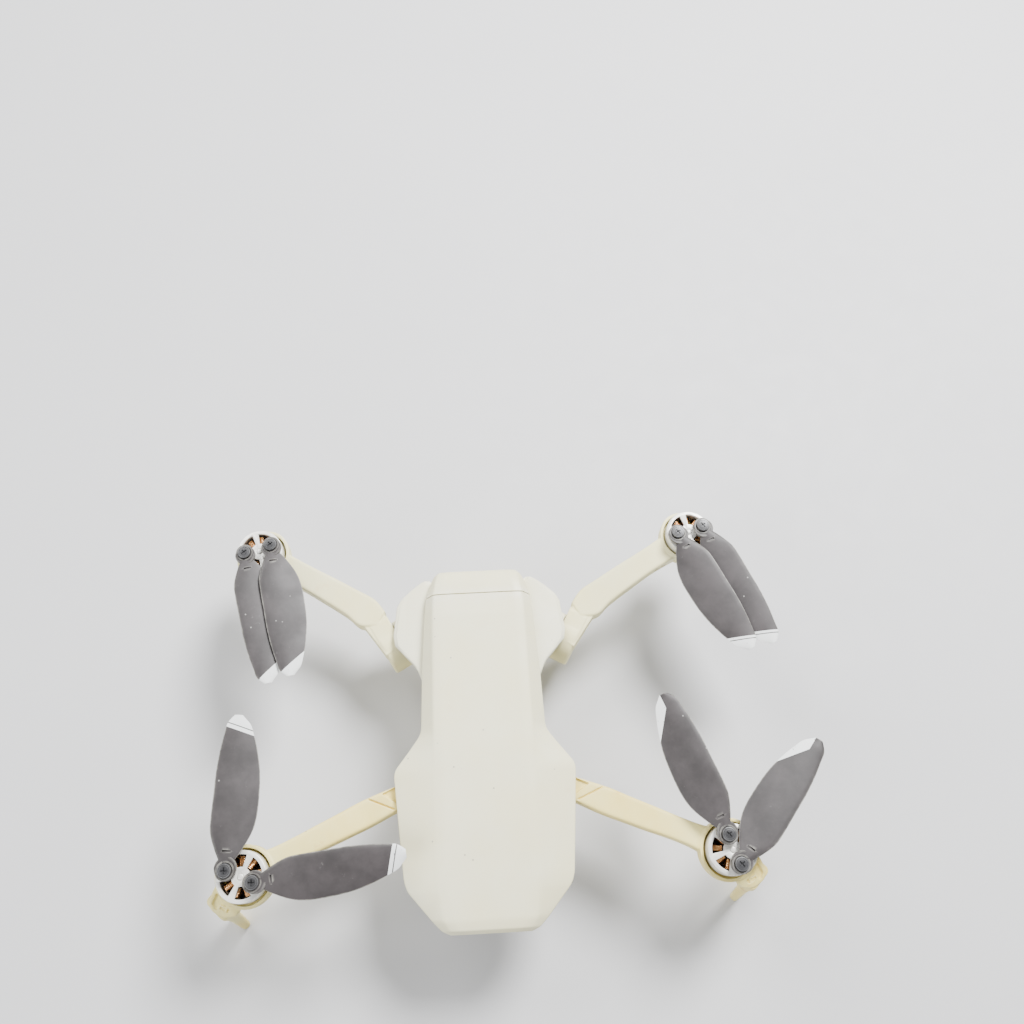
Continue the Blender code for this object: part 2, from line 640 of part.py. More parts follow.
def make_screw(name, x, y, bell_z):
    screw = add_object(name, rod((0, 0, -0.5), (0, 0, 4.0), 0.8, 10), "steel",
                       origin=(x, y, bell_z))
    join(screw, rod((x, y, bell_z + 3.7), (x, y, bell_z + 4.6), 2.5, 20))
    arm = 1.4
    for turn in (0, math.pi / 2):
        slot = box((-arm, -0.22, 4.2), (arm, 0.22, 6))
        place = Matrix.Translation((x, y, bell_z)) @ Matrix.Rotation(turn + 0.4, 4, "Z")
        bmesh.ops.transform(slot, matrix=place, verts=slot.verts)
        cut(screw, slot)
    return screw


# corner, hand of rotation, hub heading, headings of its two blades, all in degrees
ROTORS = [
    ("front_left", 1, -1, -1, 107.5, 110.0, 50.5),
    ("front_right", -1, -1, 1, 156.0, 87.0, 6.7),
    ("rear_left", 1, 1, 1, 193.2, 295.2, 293.6),
    ("rear_right", -1, 1, -1, 195.4, 282.6, 280.6),
]


def make_rotors():
    for tag, side, rear, hand, hub, heading_a, heading_b in ROTORS:
        x = side * MOTOR_X
        y = rear * MOTOR_Y
        bell_z = REAR_BELL_Z if rear > 0 else FRONT_BELL_Z
        hub_angle = math.radians(hub)
        make_motor(tag, x, y, bell_z, hub_angle)
        for letter, half_turn, heading in (("a", 0, heading_a), ("b", math.pi, heading_b)):
            sx, sy = screw_place(x, y, hub_angle + half_turn)
            make_blade(tag + "_blade_" + letter, sx, sy, bell_z, hand, math.radians(heading))
            make_screw(tag + "_screw_" + letter, sx, sy, bell_z)


# ---------------------------------------------------------------- assembly
make_top_shell()
make_mid_frame()
make_bottom_shell()
make_battery_door()
make_internals()
make_gimbal()
for hull_side in (1, -1):
    make_front_arm(hull_side)
    make_rear_arm(hull_side)
make_hinge_pins()
make_rotors()
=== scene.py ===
# %% [markdown]
# # A folding camera quadcopter
# The aircraft is about as long as a hand: an ivory moulded hull, four folding arms, four
# small electric motors and eight folding blades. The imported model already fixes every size
# and every joint. This lesson dresses it: each cell makes one piece in fine detail, puts it
# on the body it moves with, and hides the plain solid that it stands for.

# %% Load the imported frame
import json
import math

import bmesh
import bpy
import numpy as np
from mathutils import Matrix, Vector


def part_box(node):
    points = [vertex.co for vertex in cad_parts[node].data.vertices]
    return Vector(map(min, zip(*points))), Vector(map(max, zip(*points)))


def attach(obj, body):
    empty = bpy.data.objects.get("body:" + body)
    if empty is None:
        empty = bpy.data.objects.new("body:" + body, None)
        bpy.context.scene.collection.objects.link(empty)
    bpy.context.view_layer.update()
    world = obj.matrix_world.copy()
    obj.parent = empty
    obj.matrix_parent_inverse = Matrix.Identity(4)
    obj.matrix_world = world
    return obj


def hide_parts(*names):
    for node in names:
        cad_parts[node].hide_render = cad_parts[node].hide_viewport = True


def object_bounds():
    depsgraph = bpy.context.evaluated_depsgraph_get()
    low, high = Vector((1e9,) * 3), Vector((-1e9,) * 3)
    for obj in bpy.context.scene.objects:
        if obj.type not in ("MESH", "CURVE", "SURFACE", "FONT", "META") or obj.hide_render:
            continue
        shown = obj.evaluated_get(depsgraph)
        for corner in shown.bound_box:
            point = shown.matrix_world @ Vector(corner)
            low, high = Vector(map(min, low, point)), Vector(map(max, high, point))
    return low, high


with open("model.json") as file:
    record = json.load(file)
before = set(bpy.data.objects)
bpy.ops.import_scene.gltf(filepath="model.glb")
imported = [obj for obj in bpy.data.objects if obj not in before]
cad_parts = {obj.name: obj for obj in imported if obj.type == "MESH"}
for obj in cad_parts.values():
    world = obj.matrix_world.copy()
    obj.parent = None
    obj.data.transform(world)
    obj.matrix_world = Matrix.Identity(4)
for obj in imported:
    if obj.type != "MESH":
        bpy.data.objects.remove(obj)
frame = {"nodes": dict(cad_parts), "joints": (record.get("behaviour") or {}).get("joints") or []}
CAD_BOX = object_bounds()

MM = 0.001
JOINTS = {joint["name"]: joint for joint in frame["joints"]}

# %% [markdown]
# ## Camera
# The camera looks down on the nose from about 40 cm. Its place and turn were worked out from
# the motors, the blade screws and the corners of the hull, so it needs no lens shift.

# %% Camera
CAMERA_PLACE = (3.493, -66.939, 400.142)      # millimetres
CAMERA_TURN = (20.927, -2.748, -0.753)        # pitch, heading and roll in degrees
FOCAL_LENGTH = 33.78                          # for a sensor 36 mm wide


def place_camera():
    pitch, heading, roll = (math.radians(angle) for angle in CAMERA_TURN)
    turn = Matrix.Rotation(heading, 4, "Z") @ Matrix.Rotation(pitch, 4, "X")
    turn = turn @ Matrix.Rotation(roll, 4, "Y")
    data = bpy.data.cameras.new("camera")
    data.lens = FOCAL_LENGTH
    data.sensor_width = 36.0
    camera = bpy.data.objects.new("camera", data)
    camera.matrix_world = Matrix.Translation(Vector(CAMERA_PLACE) * MM) @ turn
    bpy.context.scene.collection.objects.link(camera)
    bpy.context.scene.camera = camera
    return camera


print("camera at", [round(value, 3) for value in place_camera().location])

# %% [markdown]
# ## Shapes from rings
# Nearly every moulded piece here is a skin drawn through a row of cross-sections. The
# sections come from short tables. Corners are rounded before the skin is made, which keeps
# the highlights of a real moulding without a bevel on every edge.


# %% Paths and rings
def rounded(path, cut, steps=4, closed=False):
    """The path with each corner replaced by a short curve that starts cut before it."""
    points = [np.array(point, float) for point in path]
    count = len(points)
    out = [] if closed else [points[0]]
    for k in range(0 if closed else 1, count if closed else count - 1):
        here = points[k]
        size = cut[k] if isinstance(cut, (list, tuple)) else cut
        ends = []
        for other in (points[k - 1], points[(k + 1) % count]):
            span = max(np.linalg.norm(other - here), 1e-9)
            ends.append(here + (other - here) * min(0.48, size / span))
        for i in range(steps + 1):
            t = i / steps
            out.append((1 - t) ** 2 * ends[0] + 2 * t * (1 - t) * here + t * t * ends[1])
    if not closed:
        out.append(points[-1])
    return out


def flowing(rows, steps=4):
    """A smooth curve through the rows of a table, with steps to each gap."""
    rows = [np.array(row, float) for row in rows]
    padded = [2 * rows[0] - rows[1]] + rows + [2 * rows[-1] - rows[-2]]
    out = []
    for a, b, c, d in zip(padded, padded[1:], padded[2:], padded[3:]):
        for i in range(steps):
            t = i / steps
            out.append(b + 0.5 * t * (c - a + t * (2 * a - 5 * b + 4 * c - d
                                                   + t * (3 * (b - c) + d - a))))
    return out + [rows[-1]]


def circle(radius, z, centre=(0, 0), sides=64):
    angles = [2 * math.pi * i / sides for i in range(sides)]
    return [(centre[0] + radius * math.cos(a), centre[1] + radius * math.sin(a), z)
            for a in angles]


def both_sides(half):
    """A section given for the left half, with its mirror image added."""
    return [tuple(p) for p in half] + [(-p[0], *p[1:]) for p in reversed(half) if p[0] > 1e-6]


# %% Skins and solids
def loft(rings, closed=False):
    """A skin through rings of equal length; capped, or closed back on its first ring."""
    bm = bmesh.new()
    loops = [[bm.verts.new(point) for point in ring] for ring in rings]
    count = len(rings[0])
    pairs = list(zip(loops, loops[1:]))
    if closed:
        pairs.append((loops[-1], loops[0]))
    for low, high in pairs:
        for i in range(count):
            j = (i + 1) % count
            bm.faces.new((low[i], low[j], high[j], high[i]))
    if not closed:
        bm.faces.new(loops[0])
        bm.faces.new(loops[-1])
    return bm


def turned(profile, centre=(0, 0), sides=64, closed=False):
    """A turned shape from a profile of radius and height pairs."""
    return loft([circle(r, z, centre, sides) for r, z in profile], closed)


def prism(outline, low, high):
    return loft([[(p[0], p[1], z) for p in outline] for z in (low, high)])


def block(low, high):
    return prism([(low[0], low[1]), (high[0], low[1]), (high[0], high[1]), (low[0], high[1])],
                 low[2], high[2])


def bar(start, end, radius, sides=48, ease=0.0):
    """A round bar between two points, its ends eased by a small curve."""
    start, end = Vector(start), Vector(end)
    length = (end - start).length
    profile = [(radius, 0), (radius, length)]
    if ease:
        profile = [(radius - ease, 0), (radius - ease * 0.3, ease * 0.3), (radius, ease),
                   (radius, length - ease), (radius - ease * 0.3, length - ease * 0.3),
                   (radius - ease, length)]
    bm = turned(profile, sides=sides)
    turn = Vector((0, 0, 1)).rotation_difference(end - start).to_matrix().to_4x4()
    return moved(bm, Matrix.Translation(start) @ turn)


def moved(bm, matrix):
    bmesh.ops.transform(bm, matrix=matrix, verts=bm.verts)
    return bm


def solid(name, *skins):
    """One object, in metres, from skins in millimetres, which are used up."""
    whole = bmesh.new()
    for bm in skins:
        bmesh.ops.recalc_face_normals(bm, faces=bm.faces)
        part = bpy.data.meshes.new("part")
        bm.to_mesh(part)
        bm.free()
        whole.from_mesh(part)
        bpy.data.meshes.remove(part)
    bmesh.ops.scale(whole, vec=(MM, MM, MM), verts=whole.verts)
    mesh = bpy.data.meshes.new(name)
    whole.to_mesh(mesh)
    whole.free()
    obj = bpy.data.objects.new(name, mesh)
    bpy.context.scene.collection.objects.link(obj)
    return obj


def bake(obj):
    """The result of the modifiers becomes the mesh itself."""
    bpy.context.view_layer.update()
    graph = bpy.context.evaluated_depsgraph_get()
    mesh = bpy.data.meshes.new_from_object(obj.evaluated_get(graph))
    obj.modifiers.clear()
    obj.data = mesh
    return obj


def carve(obj, *tools, operation="DIFFERENCE"):
    """Cuts each tool from the piece, or joins it when the operation is UNION."""
    for bm in tools:
        tool = bm if isinstance(bm, bpy.types.Object) else solid("tool", bm)
        step = obj.modifiers.new("carve", "BOOLEAN")
        step.operation = operation
        step.solver = "EXACT"
        step.object = tool
        bake(obj)
        bpy.data.objects.remove(tool)
    return obj


# %% Easing edges
def mould(obj, voxel=0.25, passes=4, keep=0.45):
    """Melts overlapping solids into one skin with small fillets, as a mould gives."""
    step = obj.modifiers.new("voxels", "REMESH")
    step.mode = "VOXEL"
    step.voxel_size = voxel * MM
    step = obj.modifiers.new("relax", "SMOOTH")
    step.factor = 0.5
    step.iterations = passes
    step = obj.modifiers.new("thin", "DECIMATE")
    step.ratio = keep
    return bake(obj)


def eased(obj, width=0.2, segments=2, angle=30):
    """A narrow bevel along every sharp edge."""
    bm = bmesh.new()
    bm.from_mesh(obj.data)
    bmesh.ops.remove_doubles(bm, verts=bm.verts, dist=1e-6)
    bmesh.ops.dissolve_limit(bm, angle_limit=math.radians(1), verts=bm.verts, edges=bm.edges)
    bm.to_mesh(obj.data)
    bm.free()
    step = obj.modifiers.new("ease", "BEVEL")
    step.width = width * MM
    step.segments = segments
    step.limit_method = "ANGLE"
    step.angle_limit = math.radians(angle)
    step.use_clamp_overlap = True
    return bake(obj)


def copy_of(node, name, width=0.2):
    """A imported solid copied, merged and given eased edges."""
    obj = bpy.data.objects.new(name, frame["nodes"][node].data.copy())
    bpy.context.scene.collection.objects.link(obj)
    return eased(obj, width)


def mirror_of(obj, name):
    """The same piece for the right-hand side, with its faces turned back outward."""
    mesh = obj.data.copy()
    mesh.transform(Matrix.Scale(-1, 4, (1, 0, 0)))
    mesh.flip_normals()
    twin = bpy.data.objects.new(name, mesh)
    bpy.context.scene.collection.objects.link(twin)
    return twin


# %% [markdown]
# ## Finishing a piece
# Wear needs to know where the edges are. Each mesh gets an attribute called edge, from 0 on a
# flat to 1 on an outer corner, found by asking how far a vertex stands proud of its
# neighbours. It travels with the mesh, so the wear stays in place when a joint moves.


# %% Edge attribute and hand-over to the frame
def mark_edges(obj, gain=3.0):
    mesh = obj.data
    count = len(mesh.vertices)
    place = np.empty(count * 3)
    mesh.vertices.foreach_get("co", place)
    place = place.reshape(-1, 3)
    facing = np.empty(count * 3)
    mesh.vertex_normals.foreach_get("vector", facing)
    facing = facing.reshape(-1, 3)
    pairs = np.empty(len(mesh.edges) * 2, int)
    mesh.edges.foreach_get("vertices", pairs)
    a, b = pairs.reshape(-1, 2).T
    step = place[b] - place[a]
    step /= np.maximum(np.linalg.norm(step, axis=1), 1e-9)[:, None]
    proud = np.bincount(a, -(step * facing[a]).sum(1), count)
    proud += np.bincount(b, (step * facing[b]).sum(1), count)
    number = np.maximum(np.bincount(a, minlength=count) + np.bincount(b, minlength=count), 1)
    value = np.clip(proud / number * gain, 0, 1)
    attribute = mesh.attributes.get("edge") or mesh.attributes.new("edge", "FLOAT", "POINT")
    attribute.data.foreach_set("value", value.astype(np.float32))


def finish(obj, material, body, slot, *nodes, sharp=40):
    """Gives the piece its material and its body; it stands for the nodes."""
    obj.data.materials.clear()
    obj.data.materials.append(material)
    obj.data.shade_smooth()
    obj.data.set_sharp_from_angle(angle=math.radians(sharp))
    mark_edges(obj)
    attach(obj, body)
    if nodes:
        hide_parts(*nodes)
    print(obj.name, len(obj.data.polygons), "faces on", body)
    return obj


# %% [markdown]
# ## Shared effects
# The same few things happen to every moulding: a fine grain, slow yellowing with a stain or
# two, pale rubbed edges, and specks of dust. Each is a node group with its own inputs, so a
# material only states how much of it there is.


# %% Node helpers
def add(tree, kind, inputs=(), **settings):
    """A node; an input takes either a value or the output of another node."""
    made = tree.nodes.new(kind)
    for key, value in settings.items():
        setattr(made, key, value)
    for key, value in dict(inputs).items():
        socket = made.inputs[key]
        if isinstance(value, bpy.types.NodeSocket):
            tree.links.new(value, socket)
        else:
            socket.default_value = value
    return made


def maths(tree, operation, a, b=0.0, clamp=False):
    return add(tree, "ShaderNodeMath", {0: a, 1: b}, operation=operation,
               use_clamp=clamp).outputs[0]


def blend(tree, share, a, b):
    made = add(tree, "ShaderNodeMix", {0: share}, data_type="RGBA", blend_type="MIX")
    for socket, value in ((made.inputs[6], a), (made.inputs[7], b)):
        if isinstance(value, bpy.types.NodeSocket):
            tree.links.new(value, socket)
        else:
            socket.default_value = value
    return made.outputs[2]


def ramp(tree, value, low, high):
    """0 below low, 1 above high, and a smooth step between."""
    return add(tree, "ShaderNodeMapRange", {"Value": value, "From Min": low, "From Max": high},
               interpolation_type="SMOOTHSTEP").outputs[0]


def noise(tree, where, scale, detail=3.0, rough=0.5):
    return add(tree, "ShaderNodeTexNoise", {"Vector": where, "Scale": scale, "Detail": detail,
                                            "Roughness": rough}).outputs["Fac"]


def new_group(name, inputs, outputs):
    """An empty group; inputs are (name, kind, value), and kinds are Float or Color."""
    tree = bpy.data.node_groups.new(name, "ShaderNodeTree")
    for label, kind, value in inputs:
        socket = tree.interface.new_socket(label, in_out="INPUT", socket_type="NodeSocket" + kind)
        socket.default_value = value
    for label, kind in outputs:
        tree.interface.new_socket(label, in_out="OUTPUT", socket_type="NodeSocket" + kind)
    return tree, tree.nodes.new("NodeGroupInput"), tree.nodes.new("NodeGroupOutput")


def use(tree, group, **inputs):
    made = tree.nodes.new("ShaderNodeGroup")
    made.node_tree = group
    for key, value in inputs.items():
        socket = made.inputs[key.replace("_", " ")]
        if isinstance(value, bpy.types.NodeSocket):
            tree.links.new(value, socket)
        else:
            socket.default_value = value
    return made


def rgb(red, green, blue):
    return (red, green, blue, 1.0)


# %% Grain: the spark-eroded surface of a mould
def build_grain():
    tree, given, out = new_group(
        "grain", [("Size", "Float", 0.35), ("Depth", "Float", 1.0)],
        [("Height", "Float"), ("Variation", "Float")])
    where = add(tree, "ShaderNodeTexCoord").outputs["Object"]
    scale = maths(tree, "DIVIDE", 1000.0, given.outputs["Size"])
    fine = noise(tree, where, scale, 2.0, 0.6)
    broad = noise(tree, where, 90.0, 3.0)
    height = maths(tree, "MULTIPLY", maths(tree, "ADD", fine, maths(tree, "MULTIPLY", broad, 0.6)),
                   given.outputs["Depth"])
    tree.links.new(height, out.inputs["Height"])
    tree.links.new(broad, out.inputs["Variation"])
    return tree


GRAIN = build_grain()


# %% Ageing: old white plastic yellows in broad clouds, with a few brown stains
def build_ageing():
    tree, given, out = new_group(
        "ageing", [("Fresh", "Color", rgb(0.8, 0.8, 0.75)), ("Aged", "Color", rgb(0.8, 0.7, 0.4)),
                   ("Stain", "Color", rgb(0.6, 0.35, 0.1)), ("Yellowing", "Float", 0.5),
                   ("Stains", "Float", 0.2)],
        [("Colour", "Color")])
    where = add(tree, "ShaderNodeTexCoord").outputs["Object"]
    cloud = ramp(tree, noise(tree, where, 28.0, 4.0, 0.6), 0.32, 0.72)
    aged = blend(tree, maths(tree, "MULTIPLY", cloud, given.outputs["Yellowing"]),
                 given.outputs["Fresh"], given.outputs["Aged"])
    spot = ramp(tree, noise(tree, where, 75.0, 5.0, 0.7), 0.60, 0.78)
    colour = blend(tree, maths(tree, "MULTIPLY", spot, given.outputs["Stains"]),
                   aged, given.outputs["Stain"])
    tree.links.new(colour, out.inputs["Colour"])
    return tree


AGEING = build_ageing()


# %% Edge wear: rubbed corners, broken up so that no two are alike
def build_edge_wear():
    tree, given, out = new_group(
        "edge wear", [("Base", "Color", rgb(0.5, 0.5, 0.5)), ("Worn", "Color", rgb(0.8, 0.8, 0.8)),
                      ("Amount", "Float", 0.5)],
        [("Colour", "Color"), ("Mask", "Float")])
    where = add(tree, "ShaderNodeTexCoord").outputs["Object"]
    edge = add(tree, "ShaderNodeAttribute", attribute_name="edge").outputs["Fac"]
    patchy = ramp(tree, noise(tree, where, 420.0, 4.0, 0.7), 0.35, 0.65)
    mask = maths(tree, "MULTIPLY", ramp(tree, edge, 0.1, 0.8),
                 maths(tree, "ADD", maths(tree, "MULTIPLY", patchy, 0.7), 0.3))
    mask = maths(tree, "MULTIPLY", mask, given.outputs["Amount"], clamp=True)
    tree.links.new(blend(tree, mask, given.outputs["Base"], given.outputs["Worn"]),
                   out.inputs["Colour"])
    tree.links.new(mask, out.inputs["Mask"])
    return tree


EDGE_WEAR = build_edge_wear()


# %% Specks: tiny dark chips and dust, here and there
def build_specks():
    tree, given, out = new_group(
        "specks", [("Base", "Color", rgb(0.5, 0.5, 0.5)), ("Speck", "Color", rgb(0.2, 0.18, 0.15)),
                   ("Density", "Float", 0.1), ("Scale", "Float", 350.0)],
        [("Colour", "Color"), ("Mask", "Float")])
    where = add(tree, "ShaderNodeTexCoord").outputs["Object"]
    cells = add(tree, "ShaderNodeTexVoronoi",
                {"Vector": where, "Scale": given.outputs["Scale"], "Randomness": 1.0})
    dot = maths(tree, "SUBTRACT", 1.0, ramp(tree, cells.outputs["Distance"], 0.06, 0.16))
    pick = add(tree, "ShaderNodeSeparateColor", {0: cells.outputs["Color"]}).outputs[0]
    chosen = maths(tree, "LESS_THAN", pick, given.outputs["Density"])
    mask = maths(tree, "MULTIPLY", dot, chosen)
    tree.links.new(blend(tree, maths(tree, "MULTIPLY", mask, 0.6), given.outputs["Base"],
                         given.outputs["Speck"]), out.inputs["Colour"])
    tree.links.new(mask, out.inputs["Mask"])
    return tree


SPECKS = build_specks()
print("effects:", [group.name for group in (GRAIN, AGEING, EDGE_WEAR, SPECKS)])


# %% [markdown]
# ## Finishes
# A moulded plastic is the ageing colour, then wear, then specks, with the grain as bump. The
# hull is a cool ivory, the arms are yellower, and the blades a satin dark grey.


# %% Moulded plastics
def new_material(name, **settings):
    material = bpy.data.materials.new(name)
    material.use_nodes = True
    shader = material.node_tree.nodes["Principled BSDF"]
    for key, value in settings.items():
        shader.inputs[key.replace("_", " ")].default_value = value
    return material, material.node_tree, shader


def grain_bump(tree, shader, size, strength, rough_low, rough_high):
    """Bump from the grain, and a roughness that drifts with it."""
    grain = use(tree, GRAIN, Size=size)
    bump = add(tree, "ShaderNodeBump", {"Strength": strength, "Distance": 0.00008,
                                        "Height": grain.outputs["Height"]})
    tree.links.new(bump.outputs[0], shader.inputs["Normal"])
    rough = add(tree, "ShaderNodeMapRange",
                {"Value": grain.outputs["Variation"], "From Min": 0.3, "From Max": 0.7,
                 "To Min": rough_low, "To Max": rough_high}).outputs[0]
    tree.links.new(rough, shader.inputs["Roughness"])
    return grain


def plastic(name, fresh, aged, stain=rgb(0.55, 0.30, 0.08), yellowing=0.5, stains=0.1,
            worn=rgb(0.9, 0.89, 0.84), wear=0.5, specks=0.05, rough=(0.42, 0.58), size=0.3):
    material, tree, shader = new_material(name)
    colour = use(tree, AGEING, Fresh=fresh, Aged=aged, Stain=stain, Yellowing=yellowing,
                 Stains=stains).outputs["Colour"]
    colour = use(tree, EDGE_WEAR, Base=colour, Worn=worn, Amount=wear).outputs["Colour"]
    colour = use(tree, SPECKS, Base=colour, Density=specks).outputs["Colour"]
    tree.links.new(colour, shader.inputs["Base Color"])
    grain_bump(tree, shader, size, 0.25, *rough)
    return material


SHELL = plastic("shell ivory", rgb(0.87, 0.84, 0.60), rgb(0.85, 0.77, 0.44), yellowing=0.5,
                stains=0.10, worn=rgb(0.90, 0.88, 0.76), wear=0.55, specks=0.06)
FRAME = plastic("frame ivory", rgb(0.88, 0.86, 0.66), rgb(0.84, 0.78, 0.48), yellowing=0.5,
                stains=0.08, worn=rgb(0.92, 0.91, 0.84), wear=0.7, specks=0.03)
ARM = plastic("arm ivory", rgb(0.89, 0.80, 0.36), rgb(0.88, 0.69, 0.18), yellowing=0.8,
              stains=0.75, stain=rgb(0.62, 0.28, 0.03), worn=rgb(0.93, 0.90, 0.76), wear=0.6,
              specks=0.05)
REAR_FINISH = plastic("rear arm ivory", rgb(0.88, 0.83, 0.50), rgb(0.86, 0.76, 0.34),
                      yellowing=0.7, stains=0.3, stain=rgb(0.66, 0.34, 0.06),
                      worn=rgb(0.93, 0.91, 0.76), wear=0.6, specks=0.05)
GREY = plastic("gimbal grey", rgb(0.10, 0.10, 0.105), rgb(0.13, 0.13, 0.13), yellowing=0.6,
               stains=0.0, worn=rgb(0.30, 0.30, 0.30), wear=0.5, specks=0.03,
               rough=(0.38, 0.52))
RUBBER = plastic("rubber", rgb(0.02, 0.02, 0.02), rgb(0.035, 0.035, 0.035), yellowing=0.7,
                 stains=0.0, worn=rgb(0.09, 0.09, 0.09), wear=0.4, specks=0.1,
                 rough=(0.65, 0.85), size=0.15)
BATTERY = plastic("battery case", rgb(0.055, 0.055, 0.06), rgb(0.07, 0.07, 0.07), stains=0.0,
                  worn=rgb(0.2, 0.2, 0.2), wear=0.5, specks=0.04, rough=(0.45, 0.6))


# %% Blade plastic, with a painted tip
# The blade's own map runs from 0 at the screw to 1 at the tip, and from 0 to 1 across it.
def build_tip_paint():
    tree, given, out = new_group(
        "tip paint", [("Start", "Float", 0.9), ("Slant", "Float", 0.0), ("Line", "Float", 2.0),
                      ("Corner", "Float", -1.0), ("Way", "Float", 1.0)],
        [("Mask", "Float")])
    across = add(tree, "ShaderNodeSeparateXYZ", {0: add(tree, "ShaderNodeUVMap").outputs[0]})
    side = maths(tree, "MULTIPLY", maths(tree, "SUBTRACT", across.outputs[1], 0.5),
                 given.outputs["Way"])
    along = maths(tree, "ADD", across.outputs[0],
                  maths(tree, "MULTIPLY", side, given.outputs["Slant"]))
    paint = maths(tree, "GREATER_THAN", along, given.outputs["Start"])
    offset = maths(tree, "ABSOLUTE", maths(tree, "SUBTRACT", along, given.outputs["Line"]))
    paint = maths(tree, "MULTIPLY", paint, maths(tree, "GREATER_THAN", offset, 0.0035))
    paint = maths(tree, "MULTIPLY", paint,
                  maths(tree, "GREATER_THAN", side, given.outputs["Corner"]))
    tree.links.new(paint, out.inputs["Mask"])
    return tree


TIP_PAINT = build_tip_paint()


def blade_finish(name, hand, **tip):
    material, tree, shader = new_material(name)
    where = add(tree, "ShaderNodeTexCoord").outputs["Object"]
    cloud = ramp(tree, noise(tree, where, 60.0, 5.0, 0.65), 0.3, 0.7)
    colour = blend(tree, cloud, rgb(0.030, 0.026, 0.026), rgb(0.060, 0.052, 0.053))
    scuff = ramp(tree, noise(tree, where, 300.0, 6.0, 0.8), 0.62, 0.74)
    colour = blend(tree, maths(tree, "MULTIPLY", scuff, 0.30), colour, rgb(0.30, 0.29, 0.28))
    colour = use(tree, EDGE_WEAR, Base=colour, Worn=rgb(0.34, 0.33, 0.29),
                 Amount=0.7).outputs["Colour"]
    paint = use(tree, TIP_PAINT, Way=float(hand), **tip).outputs["Mask"]
    chips = ramp(tree, noise(tree, where, 500.0, 4.0, 0.7), 0.30, 0.36)
    colour = blend(tree, maths(tree, "MULTIPLY", paint, chips), colour, rgb(0.84, 0.86, 0.85))
    colour = use(tree, SPECKS, Base=colour, Speck=rgb(0.5, 0.5, 0.47), Density=0.05,
                 Scale=420.0).outputs["Colour"]
    tree.links.new(colour, shader.inputs["Base Color"])
    grain_bump(tree, shader, 0.25, 0.2, 0.44, 0.58)
    return material


# %% Metals, glass and the circuit board
def metal(name, colour, smudge, rough, metallic=0.9, worn=rgb(0.9, 0.9, 0.9), wear=0.5):
    material, tree, shader = new_material(name, Metallic=metallic)
    where = add(tree, "ShaderNodeTexCoord").outputs["Object"]
    patch = ramp(tree, noise(tree, where, 240.0, 5.0, 0.7), 0.35, 0.7)
    mixed = blend(tree, patch, colour, smudge)
    mixed = use(tree, EDGE_WEAR, Base=mixed, Worn=worn, Amount=wear).outputs["Colour"]
    tree.links.new(mixed, shader.inputs["Base Color"])
    grain_bump(tree, shader, 0.2, 0.15, *rough)
    return material


BELL = metal("bell silver", rgb(0.86, 0.85, 0.80), rgb(0.74, 0.72, 0.66), (0.30, 0.45),
             metallic=0.25, worn=rgb(0.95, 0.95, 0.93))
COPPER = metal("enamelled copper", rgb(0.80, 0.36, 0.12), rgb(0.45, 0.14, 0.04), (0.2, 0.35),
               worn=rgb(0.95, 0.62, 0.30), wear=0.8)
STEEL = metal("dark steel", rgb(0.050, 0.050, 0.053), rgb(0.030, 0.029, 0.030), (0.30, 0.44),
              worn=rgb(0.24, 0.24, 0.24), metallic=0.4)
ALUMINIUM = metal("sheet aluminium", rgb(0.62, 0.63, 0.65), rgb(0.5, 0.5, 0.52), (0.32, 0.48))
CORE = metal("resin-coated core", rgb(0.03, 0.025, 0.02), rgb(0.05, 0.03, 0.02), (0.4, 0.6),
             metallic=0.2, worn=rgb(0.12, 0.08, 0.05))


def glass_finish():
    material, tree, shader = new_material("dark lens", Metallic=0.0, Coat_Weight=1.0,
                                          Coat_Roughness=0.03)
    where = add(tree, "ShaderNodeTexCoord").outputs["Object"]
    haze = ramp(tree, noise(tree, where, 180.0, 4.0), 0.4, 0.8)
    tree.links.new(blend(tree, haze, rgb(0.006, 0.007, 0.012), rgb(0.02, 0.02, 0.035)),
                   shader.inputs["Base Color"])
    rough = maths(tree, "ADD", maths(tree, "MULTIPLY", haze, 0.1), 0.05)
    tree.links.new(rough, shader.inputs["Roughness"])
    return material


def board_finish():
    material, tree, shader = new_material("circuit board", Metallic=0.0)
    where = add(tree, "ShaderNodeTexCoord").outputs["Object"]
    tracks = add(tree, "ShaderNodeTexBrick", {"Vector": where, "Scale": 260.0,
                                              "Mortar Size": 0.03}).outputs["Fac"]
    colour = blend(tree, tracks, rgb(0.012, 0.07, 0.035), rgb(0.03, 0.16, 0.08))
    tree.links.new(colour, shader.inputs["Base Color"])
    grain_bump(tree, shader, 0.4, 0.1, 0.3, 0.4)
    return material


GLASS = glass_finish()
BOARD = board_finish()
print(len(bpy.data.materials), "materials")

# %% [markdown]
# ## Top shell
# One long cover runs from the battery door to the nose. It is narrow at the waist and wide
# over the front arms. Every row of the table is a section: its station along the hull, half
# the width at the rim and at the crease, and the heights of crease and spine.

